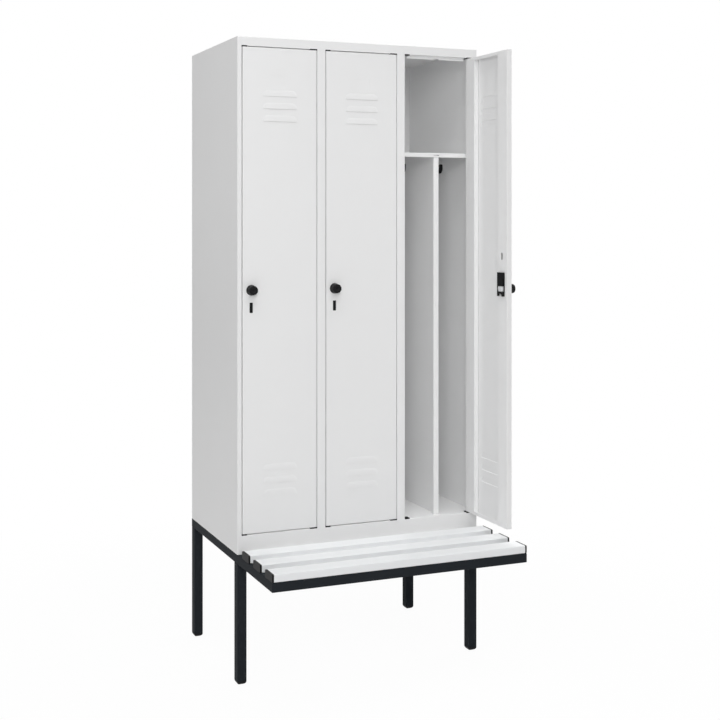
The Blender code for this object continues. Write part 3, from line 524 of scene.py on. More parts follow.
def makeRoof():
    depth, height = cabinet["depth"], cabinet["height"]
    flangeLow = railUnderside - stopFlange
    skin = folded([(depth, height - roofSheet["rearFlange"]), (depth, height), (0, height),
                   (0, railUnderside), (frameDepth, railUnderside), (frameDepth, flangeLow)],
                  "x", -halfWidth, halfWidth)
    low = flangeLow - overrun
    behindStiles, notches = [], []
    for bay in bays:
        left, right = bayEdges(bay)
        middle = (left + right) / 2
        half = roofSheet["notchWidth"] / 2
        notch = roundedPoints((middle - half, low), (middle + half, flangeLow + roofSheet["notchHeight"]),
                              roofSheet["notchCorner"], steps=2)
        notches.append(prism(notch, "y", frameDepth - overrun, frameDepth + overrun))
        if bay:
            previous = bayEdges(bay - 1)[1]
            behindStiles.append(box((previous - stopFlange, frameDepth / 2, low),
                                    (left + stopFlange, frameDepth + overrun, railUnderside - gap)))
    plugHoles = makeCornerHoles(low, railUnderside + sheet + overrun / 2, low,
                                railUnderside + hole["noseHeight"])
    return carved(skin, makeEndPockets(low, underRoof, depth + overrun), gathered(behindStiles),
                  gathered(notches), *plugHoles)


floorSheet = {"rearFlange": 0.020, "footFlange": 0.018}


def makeFloor():
    skin = folded([(innerRear, railTop - floorSheet["rearFlange"]), (innerRear, railTop), (0, railTop),
                   (0, 0), (floorSheet["footFlange"], 0)], "x", -innerReach, innerReach)
    plugHoles = makeCornerHoles(railTop - overrun, railTop + overrun, railTop - hole["noseHeight"],
                                railTop + overrun)
    return carved(skin, makeEndPockets(-overrun, railTop + overrun, behindFlange), *plugHoles)


def makeBackPanel():
    return box((-innerReach, backPanelRear - sheet, sheet + gap), (innerReach, backPanelRear, underRoof))


def makeDivider():
    front, bottom, underLedge = sheet + gap, railTop + gap, railUnderside - gap
    outline = [(front, bottom), (innerRear, bottom), (innerRear, underRoof), (behindFlange, underRoof),
               (behindFlange, underLedge), (front, underLedge)]
    return prism(outline, "x", -sheet / 2, sheet / 2)


def makeMiddleStile():
    half, overlap = cabinet["middleStile"] / 2, cabinet["weldOverlap"]
    return folded([(-half - stopFlange, frameDepth), (-half, frameDepth), (-half, 0), (half, 0),
                   (half, frameDepth), (half + stopFlange, frameDepth)],
                  "z", railTop - overlap, railUnderside + overlap)


shelf = {
    "height": 1.3325, "lip": 0.015, "lipReturn": 0.010, "rearFlange": 0.012, "slotLength": 0.024,
    "slotHeight": 0.0025, "slotRound": 0.95,
}


def makeHatShelf(bay):
    left, right = bayWalls(bay)
    middle = sum(bayEdges(bay)) / 2
    top, lip, back = shelf["height"], shelf["lip"], shelf["lipReturn"]
    low = top - lip
    skin = folded([(innerRear, top - shelf["rearFlange"]), (innerRear, top), (behindFlange, top),
                   (behindFlange, low), (behindFlange + back, low)], "x", left + gap, right - gap)
    halfHeight = shelf["slotHeight"] / 2
    return carved(skin, softBlock(shelf["slotLength"] / 2, halfHeight, halfHeight * shelf["slotRound"],
                                  behindFlange - overrun, behindFlange + back / 2, (middle, top - lip / 2)))


partitionWall = {"edgeWidth": 0.020, "edgeDepth": 0.014}


def makePartition():
    half, skin = partitionWall["edgeWidth"] / 2, sheet / 2
    fold = behindFlange + partitionWall["edgeDepth"]
    shelfTop = shelf["height"]
    wall = folded([(-skin - gap - sheet, fold), (-half, fold), (-half, behindFlange), (half, behindFlange),
                   (half, fold), (skin, fold), (skin, innerRear)], "z", railTop + gap, shelfTop - sheet - gap)
    overLip = box((-half - overrun, behindFlange - overrun, shelfTop - shelf["lip"] - gap),
                  (half + overrun, behindFlange + shelf["lipReturn"] + gap, shelfTop + overrun))
    rearNotch = box((-half, innerRear - sheet - gap, shelfTop - shelf["rearFlange"] - gap),
                    (half, innerRear + overrun, shelfTop + overrun))
    return carved(wall, overLip, rearNotch)


cornerPlug = {"lip": 0.0011, "rise": 0.0026, "rear": 0.0195, "height": 0.012, "bore": 0.0028, "edge": 0.0003}
hingeInset = 0.0065
doorGap = 0.003


def hingePlace(bay):
    return bayEdges(bay)[1] - doorGap - hingeInset, hingeInset


def makeCornerPlug(bay, bored):
    # plug in the ledge: its head stands in the door's gap, and at the hinge it is the pin's bearing
    right = bayEdges(bay)[1]
    left = right - hole["boredLength" if bored else "blindLength"]
    head = prism(roundedPoints((left + gap, gap), (right - gap, cornerPlug["rear"] - gap),
                               cornerPlug["edge"], steps=3), "z", -cornerPlug["rise"], sheet)
    body = box((left - cornerPlug["lip"], hole["setback"], sheet / 2),
               (right - gap, cornerPlug["rear"], cornerPlug["height"]))
    plug = rounded(welded(body, head), cornerPlug["edge"], steps=2)
    if not bored:
        return flipped(plug, "x", sum(bayEdges(bay)))
    bore = rod(cornerPlug["bore"], "z", hingePlace(bay), -overrun, cornerPlug["height"] + overrun, boreSteps)
    return carved(plug, bore)


hook = {
    "width": 0.014, "drop": 0.066, "setback": 0.118, "throat": 0.022, "thickness": 0.007, "tipRise": 0.012,
    "plateLength": 0.046, "plateThickness": 0.003, "edge": 0.0028, "plateEdge": 0.001, "plateMargin": 0.002,
    "plateCorner": 0.003, "plateOverlap": 0.7, "plateFace": 0.002, "stemSteps": 6, "bowSteps": 20,
    "tipShares": (0.5, 0.85, 1.0), "tipSizes": (0.45, 0.72, 0.90), "cornerSteps": 5,
}


def makeCoatHook():
    # J-shaped hook with a rounded section, moulded in one with its plate
    inner = hook["throat"] / 2
    outer = inner + hook["thickness"]
    radius = (outer + inner) / 2
    middle = hook["setback"] + outer
    bow = outer - hook["drop"]
    half, thick = hook["width"] / 2, hook["thickness"] / 2
    plateLow, stemSteps, sizes = -hook["plateThickness"], hook["stemSteps"], hook["tipSizes"]
    path = [(middle + radius, plateLow / 2 + step * (bow - plateLow / 2) / stemSteps)
            for step in range(stemSteps)]
    path += arcPoints((middle, bow), radius, 0, -pi, hook["bowSteps"])
    path += [(middle - radius, bow + hook["tipRise"] * step / 3) for step in (1, 2, 3)]
    path += [(middle - radius, bow + hook["tipRise"] + thick * share) for share in hook["tipShares"]]
    sections = []
    for left in reversed(range(len(path))):
        shrink = sizes[left] if left < len(sizes) else 1.0
        sections.append(roundedAround(half * shrink, thick * shrink, hook["edge"] * shrink,
                                      hook["cornerSteps"]))
    stem = sweep(path, sections)
    wide = half + hook["edge"] * hook["plateOverlap"]
    outline = roundedPoints((-wide, middle + outer - hook["plateLength"]),
                            (wide, middle + outer + hook["plateMargin"]), hook["plateCorner"],
                            hook["cornerSteps"])
    plate = rounded(prism(outline, "z", plateLow, 0), hook["plateEdge"], steps=2,
                    chosen=lambda edge: max(v.co.z for v in edge.verts) < -hook["plateFace"])
    return welded(plate, stem)


# The tubes' sizes stand here because the side panels' screw holes need them
tube = {"side": 0.030, "legSide": 0.032, "wall": 0.002, "corner": 0.0015, "top": 0.428, "cornerSteps": 4}
tubeHalf = tube["side"] / 2

sideLeft = makeSidePanel()
addToCabinet("sidePanelLeft", sideLeft, paint, "side_left")
addToCabinet("sidePanelRight", flipped(sideLeft), paint, "side_right")
addToCabinet("roofSheet", makeRoof(), paint, "roof")
addToCabinet("floorSheet", makeFloor(), paint, "floor_pan")
addToCabinet("backSheet", makeBackPanel(), paint, "back_panel")
dividerMesh, stileMesh = makeDivider(), makeMiddleStile()
for number in range(1, cabinet["bays"]):
    spot = (-halfWidth + number * bayPitch, cabinet["front"], cabinet["lift"])
    addToCabinet(f"dividerSheet_{number}", dividerMesh, paint, f"divider_{number}", spot)
    addToCabinet(f"stilePost_{number}", stileMesh, paint, f"middle_stile_{number}", spot)
partitionMesh, hookMesh = makePartition(), makeCoatHook()
underShelf = cabinet["lift"] + shelf["height"] - sheet - gap
for bay in bays:
    number = bay + 1
    middle = sum(bayEdges(bay)) / 2
    addToCabinet(f"shelfSheet_{number}", makeHatShelf(bay), paint, f"hat_shelf_{number}")
    addToCabinet(f"partitionSheet_{number}", partitionMesh, paint, f"partition_{number}",
                 (middle, cabinet["front"], cabinet["lift"]))
    left, right = bayWalls(bay)
    for side, x in enumerate(((left + middle) / 2, (middle + right) / 2)):
        hookNumber = 2 * bay + side + 1
        addToCabinet(f"hook_{hookNumber}", hookMesh, plastic, f"coat_hook_{hookNumber}",
                     (x, cabinet["front"], underShelf))
    for kind, bored in (("bearing", True), ("blindPlug", False)):
        plugMesh = makeCornerPlug(bay, bored)
        plugTop = shifted(plugMesh, (0, 0, railUnderside))
        addToCabinet(f"{kind}Top_{number}", plugTop, plastic, "roof")
        addToCabinet(f"{kind}Bottom_{number}", flipped(plugMesh, "z", railTop), plastic, "floor_pan")
print("cabinet body made:", counts["pieces"], "pieces so far")


# Doors, in their own coordinates: the hinge axis is x = y = 0, z = 0 the lower edge

leaf = {
    "depth": 0.0185, "fold": 0.0010, "channel": 0.057, "endReturn": 0.012, "slit": 0.001,
    "restTurns": (0.0, 0.0, 90.0),
}
doorFront = -hingeInset
doorBack = leaf["depth"] - hingeInset
doorHeight = railUnderside - railTop - 2 * doorGap
doorLeft = bayEdges(0)[0] + doorGap - (bayEdges(0)[1] - doorGap - hingeInset)
doorRight = hingeInset
doorMiddle = (doorLeft + doorRight) / 2

louvre = {
    "count": 3, "width": 0.122, "height": 0.020, "rise": 0.0013, "shoulder": 0.018, "pitch": 0.0417,
    "lip": 0.0003, "topDrop": 0.160, "bottomRise": 0.121, "rows": 9, "shoulderSteps": 6,
    "shoulderShare": 0.9,
}
louvreSteps = [row * louvre["pitch"] for row in range(louvre["count"])]
louvrePlaces = [doorHeight - louvre["topDrop"] - step for step in louvreSteps]
louvrePlaces += [louvre["bottomRise"] + step for step in louvreSteps]


def hoodRings(low, inset, back):
    # a pressed hood from its open lower edge up to where it runs out in the sheet
    height = louvre["height"] - inset
    half = louvre["width"] / 2 - inset
    shoulder = louvre["shoulder"]
    rings = []
    for turn in quarterTurn(louvre["rows"]):
        z = low + height * sin(turn)
        rise = (louvre["rise"] - inset) * cos(turn)
        reach = half - shoulder * (1 - cos(turn))
        side = [(reach - shoulder * (1 - cos(angle)) * louvre["shoulderShare"], rise * sin(angle))
                for angle in quarterTurn(louvre["shoulderSteps"])]
        left = [(doorMiddle - x, doorFront - out, z) for x, out in side]
        right = [(doorMiddle + x, doorFront - out, z) for x, out in reversed(side)]
        rings.append([(doorMiddle - reach, back, z), *left, *right, (doorMiddle + reach, back, z)])
    return rings


label = {
    "width": 0.0615, "height": 0.041, "depth": 0.0007, "drop": 0.090, "radius": 0.002, "tabWidth": 0.006,
    "tabHeight": 0.0022, "tabInset": 0.003, "tabDepth": 0.0009,
}
lock = {
    "setback": 0.030, "spindleHole": 0.0043, "slotWidth": 0.0115, "slotHeight": 0.034, "slotDrop": 0.058,
    "slotCorner": 0.0015, "sightWidth": 0.010, "sightHeight": 0.023, "sightRise": 0.109, "sightRound": 0.7,
}
lockX = doorLeft + lock["setback"]
lockZ = doorHeight / 2


def lockSlot(kind, middle, corner, start, end):
    return softBlock(lock[kind + "Width"] / 2, lock[kind + "Height"] / 2, corner, start, end,
                     (lockX, middle))


def makeDoor():
    channel, end = leaf["channel"], leaf["endReturn"]
    shell = rounded(box((doorLeft, doorFront, 0), (doorRight, doorBack, doorHeight)), leaf["fold"], steps=4)
    hoods = gathered([loft(hoodRings(low, 0, doorFront + sheet / 2)) for low in louvrePlaces])
    hollows = gathered([
        box((left, doorFront + sheet, sheet), (right, doorBack - sheet, doorHeight - sheet))
        for left, right in ((doorLeft + sheet, doorLeft + channel - sheet),
                            (doorLeft + channel, doorRight - channel),
                            (doorRight - channel + sheet, doorRight - sheet))])
    slit = box((doorLeft + sheet, doorFront + sheet, sheet),
               (doorRight - sheet, doorFront + sheet + leaf["slit"], doorHeight - sheet))
    window = box((doorLeft + channel, doorFront + leaf["depth"] / 2, end),
                 (doorRight - channel, doorBack + overrun, doorHeight - end))
    vents = gathered([loft(hoodRings(low - louvre["lip"], sheet, doorFront + 2 * sheet))
                      for low in louvrePlaces])
    top = doorHeight - label["drop"]
    half = label["width"] / 2
    pocket = prism(roundedPoints((doorMiddle - half, top - label["height"]), (doorMiddle + half, top),
                                 label["radius"]), "y", doorFront - overrun, doorFront + label["depth"])
    tabs = []
    tabHalf, tabTop = label["tabWidth"] / 2, top - label["tabInset"]
    for side in (-1, 1):
        centre = doorMiddle + side * (half - label["tabInset"] - tabHalf)
        tabs.append(box((centre - tabHalf, doorFront - overrun, tabTop - label["tabHeight"]),
                        (centre + tabHalf, doorFront + label["tabDepth"], tabTop)))
    holes = gathered([
        rod(lock["spindleHole"], "y", (lockX, lockZ), doorFront - overrun, doorBack + overrun),
        lockSlot("slot", lockZ - lock["slotDrop"], lock["slotCorner"], doorFront - overrun,
                 doorFront + 2 * sheet),
        lockSlot("sight", lockZ + lock["sightRise"], lock["sightWidth"] / 2 * lock["sightRound"],
                 doorBack - 2 * sheet, doorBack + overrun)])
    return carved(welded(shell, hoods), hollows, slit, window, vents, pocket, gathered(tabs), holes)


pin = {"radius": 0.0025, "inside": 0.009, "outside": 0.015, "chamfer": 0.0006, "sharpest": 60}


def makePin(start, end):
    plain = rod(pin["radius"], "z", (0, 0), start, end, boreSteps)
    return rounded(plain, pin["chamfer"], steps=2, sharpest=pin["sharpest"])


knob = {
    "radius": 0.0177, "frontRadius": 0.0140, "height": 0.026, "skirt": 0.005, "edge": 0.0035,
    "footChamfer": 0.0008, "straight": 0.55, "taper": 0.8, "taperIn": 0.0002, "skirtIn": 0.0005,
    "gripIn": 0.0006, "noseShare": 0.45, "dishRadius": 0.0075, "dishDepth": 0.003, "dishLip": 0.0006,
    "dishPower": 0.8, "fluteDepth": 0.0005, "fluteStart": 0.05, "fluteGrowth": 1.6, "fluteFade": 0.9,
    "flutes": 10, "arcSteps": 6, "steps": 120, "crease": 60,
}


def makeKnob():
    # turned knob along -y: a skirt, a tapering fluted grip, a rounded nose and a dish
    radius, front, height, skirt = knob["radius"], knob["frontRadius"], knob["height"], knob["skirt"]
    edge, chamfer, arcSteps = knob["edge"], knob["footChamfer"], knob["arcSteps"]
    # each row holds the radius, the height and how deep the flutes are
    profile = [(radius - chamfer, gap, 0.0), (radius, gap + chamfer, 0.0),
               (radius, skirt * knob["straight"], 0.0),
               (radius - knob["taperIn"], skirt * knob["taper"], 0.0),
               (radius - knob["skirtIn"], skirt, knob["fluteStart"])]
    grip = radius - knob["gripIn"]
    nose = front + edge * knob["noseShare"]
    for step in range(1, arcSteps + 1):
        share = step / arcSteps
        profile.append((grip + (nose - grip) * share, skirt + (height - edge - skirt) * share,
                        min(1.0, share * knob["fluteGrowth"])))
    for step, angle in enumerate(quarterTurn(arcSteps, 1), start=1):
        profile.append((nose - edge * (1 - cos(angle)), height - edge + edge * sin(angle),
                        1.0 - knob["fluteFade"] * step / arcSteps))
    dish = knob["dishRadius"]
    profile.append((dish + knob["dishLip"], height, 0.0))
    for angle in quarterTurn(arcSteps, 1)[:-1]:
        profile.append((dish * cos(angle) ** knob["dishPower"],
                        height - knob["dishDepth"] * sin(angle), 0.0))
    rings = []
    for reach, rise, flute in profile:
        ring = []
        for step in range(knob["steps"]):
            angle = 2 * pi * step / knob["steps"]
            pressed = reach - flute * knob["fluteDepth"] * (1 + cos(knob["flutes"] * angle)) / 2
            ring.append((pressed * cos(angle), doorFront - rise, pressed * sin(angle)))
        rings.append(ring)
    return loft(rings)


cam = {
    "reach": 0.036, "width": 0.016, "thickness": 0.0025, "hub": 0.0150, "behindFlange": 0.0008,
    "socket": 0.0035, "socketDepth": 0.0012, "chamfer": 0.0003, "spindle": 0.004, "hubSteps": 40,
    "tipSteps": 8, "sharpest": 70,
}
camFront = frameDepth + sheet + cam["behindFlange"] - hingeInset
camBack = camFront + cam["thickness"]


def makeCam():
    # one outline, round the hub and up the arm
    half, hub, reach = cam["width"] / 2, cam["hub"], cam["reach"]
    leaves = asin(half / hub)
    tip = half / 2
    outline = arcPoints((0, 0), hub, pi / 2 + leaves, pi * 5 / 2 - leaves, cam["hubSteps"])
    outline += arcPoints((half - tip, reach - tip), tip, 0, pi / 2, cam["tipSteps"])
    outline += arcPoints((-half + tip, reach - tip), tip, pi / 2, pi, cam["tipSteps"])
    plate = rounded(prism(outline, "y", camFront, camBack), cam["chamfer"], steps=2, sharpest=cam["sharpest"])
    socket = rod(cam["socket"], "y", (0, 0), camBack - cam["socketDepth"], camBack + overrun, steps=6)
    return carved(plate, socket)


cover = {
    "width": 0.034, "above": 0.055, "below": 0.025, "wall": 0.0014, "rise": 0.0088, "edge": 0.001,
    "base": 0.001, "windowWidth": 0.028, "windowHeight": 0.018, "windowCorner": 0.0015, "notch": 0.0105,
    "notchSteps": 48, "baseNotchShare": 0.9,
}


def makeLockCover():
    half = cover["width"] / 2
    front = doorBack + gap
    back = front + cover["rise"]
    below, above, wall = cover["below"], cover["above"], cover["wall"]
    middle = front + cover["rise"] / 2
    shell = rounded(box((-half, front, -below), (half, back, above)), cover["edge"], steps=4,
                    chosen=lambda edge: max(v.co.y for v in edge.verts) > middle)
    floor = front + cover["base"]
    hollow = box((-half + wall, floor, -below + wall), (half - wall, back - wall, above - wall))
    bore = rod(lock["spindleHole"], "y", (0, 0), front - overrun, floor + overrun / 2)
    wide, high = cover["windowWidth"] / 2, cover["windowHeight"] / 2
    window = softBlock(wide, high, cover["windowCorner"], back - overrun, back + overrun)
    notch = rod(cover["notch"], "y", (0, -below), front - overrun, back + overrun, cover["notchSteps"])
    # the base is cut further towards the hinge, so that the door shows through the notch
    baseNotch = box((0, front - overrun, -below - overrun),
                    (half - wall, floor + overrun / 2, -below + cover["notch"] * cover["baseNotchShare"]))
    cornerReach = hypot(cam["reach"], cam["width"] / 2)
    sweepUp = sqrt(cornerReach ** 2 - (half - wall) ** 2) + gap
    latchSlot = box((-half - overrun, camFront - 2 * gap, -cam["width"] / 2 - 2 * gap),
                    (-half + 2 * wall, camBack + 2 * gap, sweepUp))
    # the window runs round the edge into the latch slot
    sideWindow = box((-half - overrun, camFront - 2 * gap, -high),
                     (-wide + cover["windowCorner"], back + overrun, high))
    return carved(shell, hollow, bore, window, notch, baseNotch, latchSlot, sideWindow)


insert = {
    "flange": 0.003, "flangeThickness": 0.0015, "reach": 0.008, "grooveWidth": 0.0018,
    "grooveDepth": 0.0008, "grooveMargin": 0.004, "flangeRound": 0.7, "grooveRound": 0.9,
}


def makeSlotInsert():
    wide, high = lock["slotWidth"] / 2 - gap, lock["slotHeight"] / 2 - gap
    margin, behind, line = insert["flange"], doorFront + sheet + gap, insert["grooveWidth"] / 2
    plug = softBlock(wide, high, lock["slotCorner"], doorFront + gap, behind + insert["reach"])
    flange = softBlock(wide + margin, high + margin, wide * insert["flangeRound"], behind,
                       behind + insert["flangeThickness"])
    groove = softBlock(line, high - insert["grooveMargin"], line * insert["grooveRound"],
                       doorFront - overrun, doorFront + insert["grooveDepth"])
    return carved(welded(plug, flange), groove)


doorMesh, knobMesh, camMesh = makeDoor(), makeKnob(), makeCam()
coverMesh, insertMesh = makeLockCover(), makeSlotInsert()
spindleMesh = rod(cam["spindle"], "y", (0, 0), doorFront - knob["height"] / 2, camFront - gap, boreSteps)
pinBottom = makePin(-pin["outside"], pin["inside"])
pinTop = makePin(doorHeight - pin["inside"], doorHeight + pin["outside"])
for bay in bays:
    number = bay + 1
    hingeX, hingeY = hingePlace(bay)
    hinge = Vector((hingeX, hingeY + cabinet["front"], cabinet["lift"] + railTop + doorGap))
    turn = radians(leaf["restTurns"][bay])
    across = Vector((cos(turn), sin(turn), 0))
    lockSpot = hinge + across * lockX + Vector((0, 0, lockZ))
    slotSpot = lockSpot - Vector((0, 0, lock["slotDrop"]))
    doorBody, knobBody = f"door_{number}", f"knob_{number}"
    pieces = [
        ("doorLeaf", doorMesh, paint, doorBody, doorBody, hinge),
        ("pinBottom", pinBottom, "zinc", doorBody, doorBody, hinge),
        ("pinTop", pinTop, "zinc", doorBody, doorBody, hinge),
        ("lockCover", coverMesh, plastic, doorBody, f"lock_housing_{number}", lockSpot),
        ("slotInsert", insertMesh, plastic, doorBody, f"staple_guide_{number}", slotSpot),
        ("knobGrip", knobMesh, plastic, knobBody, knobBody, lockSpot),
        ("spindle", spindleMesh, plastic, knobBody, knobBody, lockSpot),
        ("camPlate", camMesh, "zinc", knobBody, f"lock_cam_{number}", lockSpot),
    ]
    for name, mesh, slot, body, node, spot in pieces:
        crease = knob["crease"] if mesh == knobMesh else making["crease"]
        addPiece(f"{name}_{number}", mesh, slot, body, [node], spot, turn, crease)
print("doors made:", counts["pieces"], "pieces so far")


# Base and bench, in world coordinates

base = {
    "bench": 0.3125, "footHeight": 0.012, "footEdge": 0.0115, "plugLength": 0.018, "plugWall": 0.003,
    "plugCorner": 0.0005, "domeSteps": 8, "domeSpread": 0.25, "cornerSteps": 5,
}
benchFront = cabinet["front"] - base["bench"]
bodyRear = cabinet["front"] + cabinet["depth"]
tubeMiddle = tube["top"] - tubeHalf
tubeLow = tube["top"] - tube["side"]


def makeTube(axis, centre, start, end, mitre=(0, 0), side=tube["side"]):
    # square tube with rounded corners; a mitre of 1 or -1 cuts an end at 45 degrees
    place = axisOrder[axis]
    half, wall, steps = side / 2, tube["wall"], tube["cornerSteps"]
    outer = roundedAround(half, half, tube["corner"], steps)
    inner = roundedAround(half - wall, half - wall, tube["corner"] - wall / 2, steps)
    return loft([[place(u + centre[0], v + centre[1], along + slope * u) for u, v in outline]
                 for outline, along, slope in ((outer, start, mitre[0]), (outer, end, mitre[1]),
                                               (inner, end, mitre[1]), (inner, start, mitre[0]))],
                around=True)


def makeFoot():
    # domed foot below the tube, with a hollow plug that grips inside it
    half = tube["legSide"] / 2
    height, edge = base["footHeight"], base["footEdge"]
    steps, corner = base["cornerSteps"], tube["corner"]
    rings = []
    for angle in quarterTurn(base["domeSteps"]):
        inset = edge * (1 - sin(angle))
        reach = half - inset
        rings.append(ringAt(roundedAround(reach, reach, corner + inset * base["domeSpread"], steps), "z",
                            edge * (1 - cos(angle))))
    rings.append(ringAt(roundedAround(half, half, corner, steps), "z", height))
    plugHalf = half - tube["wall"] - gap
    top = height + base["plugLength"]
    plug = prism(roundedAround(plugHalf, plugHalf, base["plugCorner"]), "z", height / 2, top)
    hollowHalf = plugHalf - base["plugWall"]
    hollow = box((-hollowHalf, -hollowHalf, height), (hollowHalf, hollowHalf, top + overrun))
    return carved(welded(loft(rings), plug), hollow)


slat = {
    "count": 3, "width": 0.061, "height": 0.025, "pitch": 0.1037, "wall": 0.0022, "edge": 0.003,
    "capThickness": 0.006, "capPlug": 0.007, "capPlugWall": 0.002, "capEdge": 0.0004, "capSteps": 3,
}
slatMiddles = [benchFront + slat["width"] / 2 + number * slat["pitch"]
               for number in range(slat["count"])]


def slatOutline(inset=0.0):
    half = slat["width"] / 2 - inset
    return roundedPoints((-half, inset), (half, slat["height"] - inset), slat["edge"] - inset, steps=6)


def slatCells(inset, start, end):
    half, wall = slat["width"] / 2, slat["wall"]
    low, high, rib = wall + inset, slat["height"] - wall - inset, wall / 2 + inset
    cells = [((-half + wall + inset, low), (-rib, high)), ((rib, low), (half - wall - inset, high))]
    return gathered([prism(rectanglePoints(*cell), "x", start, end) for cell in cells])


def makeSlat():
    reach = halfWidth - slat["capThickness"] - gap
    holes = gathered([rod(sidePanel["screwHole"], "z", (side * (halfWidth - tubeHalf), 0), -overrun,
                          slat["height"] / 2, boreSteps) for side in (-1, 1)])
    cells = slatCells(0, -reach - overrun, reach + overrun)
    return carved(prism(slatOutline(), "x", -reach, reach), cells, holes)


def makeSlatCap():
    # cover plate with a softened outer rim, and two plugs in the slat's cells
    edge, inside = slat["capEdge"], halfWidth - slat["capThickness"]
    rings = [ringAt(slatOutline(), "x", inside), ringAt(slatOutline(), "x", halfWidth - edge)]
    rings += [ringAt(slatOutline(edge * (1 - cos(angle))), "x", halfWidth - edge * (1 - sin(angle)))
              for angle in quarterTurn(slat["capSteps"], 1)]
    plugs = slatCells(gap, inside - slat["capPlug"], halfWidth - slat["capThickness"] / 2)
    hollows = slatCells(gap + slat["capPlugWall"], inside - slat["capPlug"] - overrun, inside)
    return carved(welded(loft(rings), plugs), hollows)


screw = {
    "radius": 0.003, "headRadius": 0.0055, "headHeight": 0.003, "bite": 0.005, "socket": 0.0022,
    "socketDepth": 0.0016, "edge": 0.0008, "face": 0.002, "sharpest": 60,
}


def makeScrew():
    # socket screw from below: its head under z = 0, the shank above
    height = screw["headHeight"]
    head = rod(screw["headRadius"], "z", (0, 0), -height, height / 4)
    head = rounded(head, screw["edge"], sharpest=screw["sharpest"],
                   chosen=lambda edge: max(v.co.z for v in edge.verts) < -screw["face"])
    shank = rod(screw["radius"], "z", (0, 0), -height / 2, tube["side"] + screw["bite"], boreSteps)
    socket = rod(screw["socket"], "z", (0, 0), -height - overrun, -height + screw["socketDepth"], steps=6)
    return carved(welded(head, shank), socket)


black = "black_powder"
sideX = halfWidth - tubeHalf
railStart, railEnd = benchFront + tubeHalf + gap, bodyRear - tubeHalf - gap
crossReach = halfWidth - tube["side"] - gap
origin = (0.0, 0.0, 0.0)
rails = [
    ("railLeft", "left_rail", "y", -sideX, railStart, railEnd, (1, -1)),
    ("railRight", "right_rail", "y", sideX, railStart, railEnd, (-1, 1)),
    ("railFront", "front_rail", "x", benchFront + tubeHalf, -sideX, sideX, (1, -1)),
    ("railRear", "rear_rail", "x", bodyRear - tubeHalf, -sideX, sideX, (-1, 1)),
    ("railCross", "cross_rail", "x", cabinet["front"] + tubeHalf, -crossReach, crossReach, (0, 0)),
]
for name, node, axis, across, start, end, mitre in rails:
    addToCabinet(name, makeTube(axis, (across, tubeMiddle), start, end, mitre), black, node, origin)
legMesh = makeTube("z", (0, 0), base["footHeight"] + gap, tubeLow - gap, side=tube["legSide"])
footMesh = makeFoot()
legNumber, legInset = 0, tube["legSide"] / 2
for y in (cabinet["front"] + legInset, bodyRear - legInset):
    for x in (-halfWidth + legInset, halfWidth - legInset):
        legNumber += 1
        addToCabinet(f"legTube_{legNumber}", legMesh, black, f"leg_{legNumber}", (x, y, 0))
        addToCabinet(f"footPlug_{legNumber}", footMesh, plastic, f"foot_cap_{legNumber}", (x, y, 0))
screwMesh = makeScrew()
alongRail = slatMiddles + [cabinet["front"] + cabinet["depth"] * share for share in sidePanel["screwShares"]]
for side, rail in ((-1, "left_rail"), (1, "right_rail")):
    for place, y in enumerate(alongRail, start=1):
        addToCabinet(f"screw_{rail}_{place}", screwMesh, "zinc", rail, (side * sideX, y, tubeLow))
slatMesh, capMesh = makeSlat(), makeSlatCap()
capLeftMesh = flipped(capMesh)
for number, y in enumerate(slatMiddles, start=1):
    spot = (0, y, tube["top"] + gap)
    addToCabinet(f"seatSlat_{number}", slatMesh, "light_plastic", f"slat_{number}", spot)
    addToCabinet(f"slatEndLeft_{number}", capLeftMesh, plastic, f"slat_cap_left_{number}", spot)
    addToCabinet(f"slatEndRight_{number}", capMesh, plastic, f"slat_cap_right_{number}", spot)
print("base and bench made:", counts["pieces"], "pieces in all")


# Studio

studio = {
    "light": 0.10, "tint": (1.0, 1.0, 1.0), "floorColour": (0.90, 0.90, 0.90), "floorReach": 14.0,
    "glow": 0.96, "fadeStart": 1.0, "fadeWidth": 1.2, "gridSteps": 8, "lampAim": (0.0, 0.0, 1.15),
    "bounces": 24, "diffuseBounces": 20,
}


def makeWorld():
    world = bpy.data.worlds.new("studioLight")
    bpy.context.scene.world = world
    tree = Tree(world)
    soft = tree.node("ShaderNodeBackground", None,
                     {"Color": (*studio["tint"], 1), "Strength": studio["light"]})
    white = tree.node("ShaderNodeBackground", None, {"Color": (1, 1, 1, 1), "Strength": 1.0})
    both = tree.node("ShaderNodeMixShader", None, {0: tree.seen(), 1: soft, 2: white})
    tree.node("ShaderNodeOutputWorld", None, {"Surface": both})


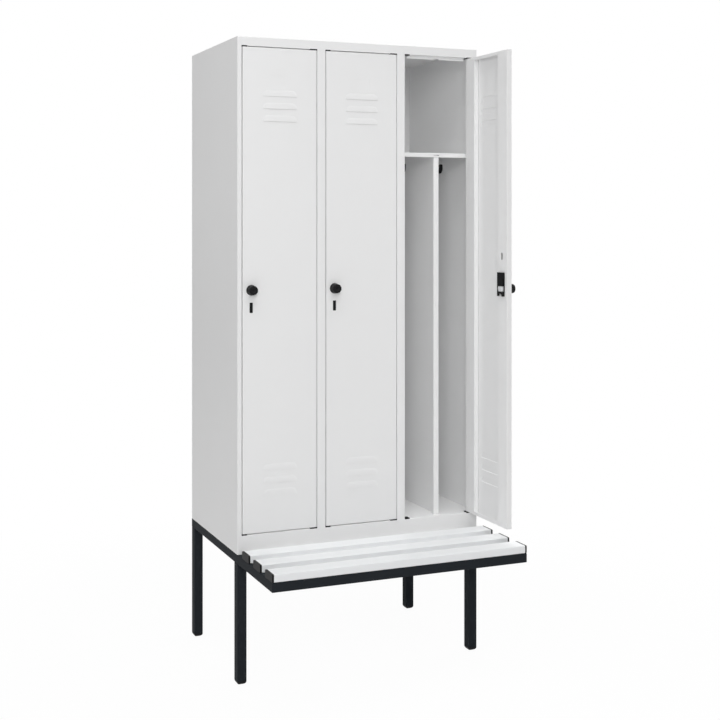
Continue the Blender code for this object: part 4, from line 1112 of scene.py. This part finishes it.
def makeFloorStage():
    # pale floor that keeps the shadow near the object and runs out into plain white
    tree, place = newTree("paleFloor")
    away = tree.node("ShaderNodeVectorMath", {"operation": "LENGTH"}, {0: place}, "Value")
    fade = tree.node("ShaderNodeMapRange", {"interpolation_type": "SMOOTHSTEP"}, {
        "Value": away, "From Min": studio["fadeStart"], "From Max": studio["fadeStart"] + studio["fadeWidth"],
        "To Min": studio["glow"], "To Max": 1.0})
    matt = tree.node("ShaderNodeBsdfDiffuse", None, {"Color": (*studio["floorColour"], 1)})
    glow = tree.node("ShaderNodeEmission", None, {"Color": (1, 1, 1, 1), "Strength": 1.0})
    both = tree.node("ShaderNodeMixShader", None, {0: tree.seen() * fade, 1: matt, 2: glow})
    tree.node("ShaderNodeOutputMaterial", None, {"Surface": both})
    shape = bmesh.new()
    bmesh.ops.create_grid(shape, x_segments=studio["gridSteps"], y_segments=studio["gridSteps"],
                          size=studio["floorReach"])
    mesh = meshOf(shape)
    mesh.materials.append(tree.owner)
    linked("studioFloor", mesh)


lamps = {
    "keySoftbox": {"place": (-1.9, -4.2, 2.8), "size": 2.0, "power": 81.0},
    "topSoftbox": {"place": (-0.8, -2.6, 9.0), "size": 6.0, "power": 419.0},
    "leftSoftbox": {"place": (-4.8, -0.5, 3.2), "size": 3.0, "power": 28.0},
    "rearSoftbox": {"place": (2.4, 5.0, 4.6), "size": 3.0, "power": 115.0},
    "rightSoftbox": {"place": (5.2, 1.8, 2.6), "size": 3.0, "power": 80.0},
}


def makeLamps():
    for name, lamp in lamps.items():
        light = bpy.data.lights.new(name, "AREA")
        light.size, light.energy = lamp["size"], lamp["power"]
        holder = linked(name, light)
        holder.location = lamp["place"]
        aim = Vector(studio["lampAim"]) - Vector(lamp["place"])
        holder.rotation_euler = aim.to_track_quat("-Z", "Y").to_euler()


cameraView = {
    "place": (-1.72047, -3.66224, 1.52774), "heading": -20.43112764712623, "lens": 57.831, "sensor": 36.0,
    "shift": (0.14677, -0.19539),
}


def makeCamera():
    lens = bpy.data.cameras.new("shopView")
    lens.sensor_width = cameraView["sensor"]
    lens.lens = cameraView["lens"]
    lens.shift_x, lens.shift_y = cameraView["shift"]
    camera = linked("shopView", lens)
    camera.location = cameraView["place"]
    camera.rotation_euler = (radians(90), 0, radians(cameraView["heading"]))
    bpy.context.scene.camera = camera


makeWorld()
makeFloorStage()
makeLamps()
makeCamera()
bpy.context.scene.cycles.max_bounces = studio["bounces"]
bpy.context.scene.cycles.diffuse_bounces = studio["diffuseBounces"]
bpy.context.scene.view_settings.view_transform = "Standard"
print("studio, lamps and camera made")
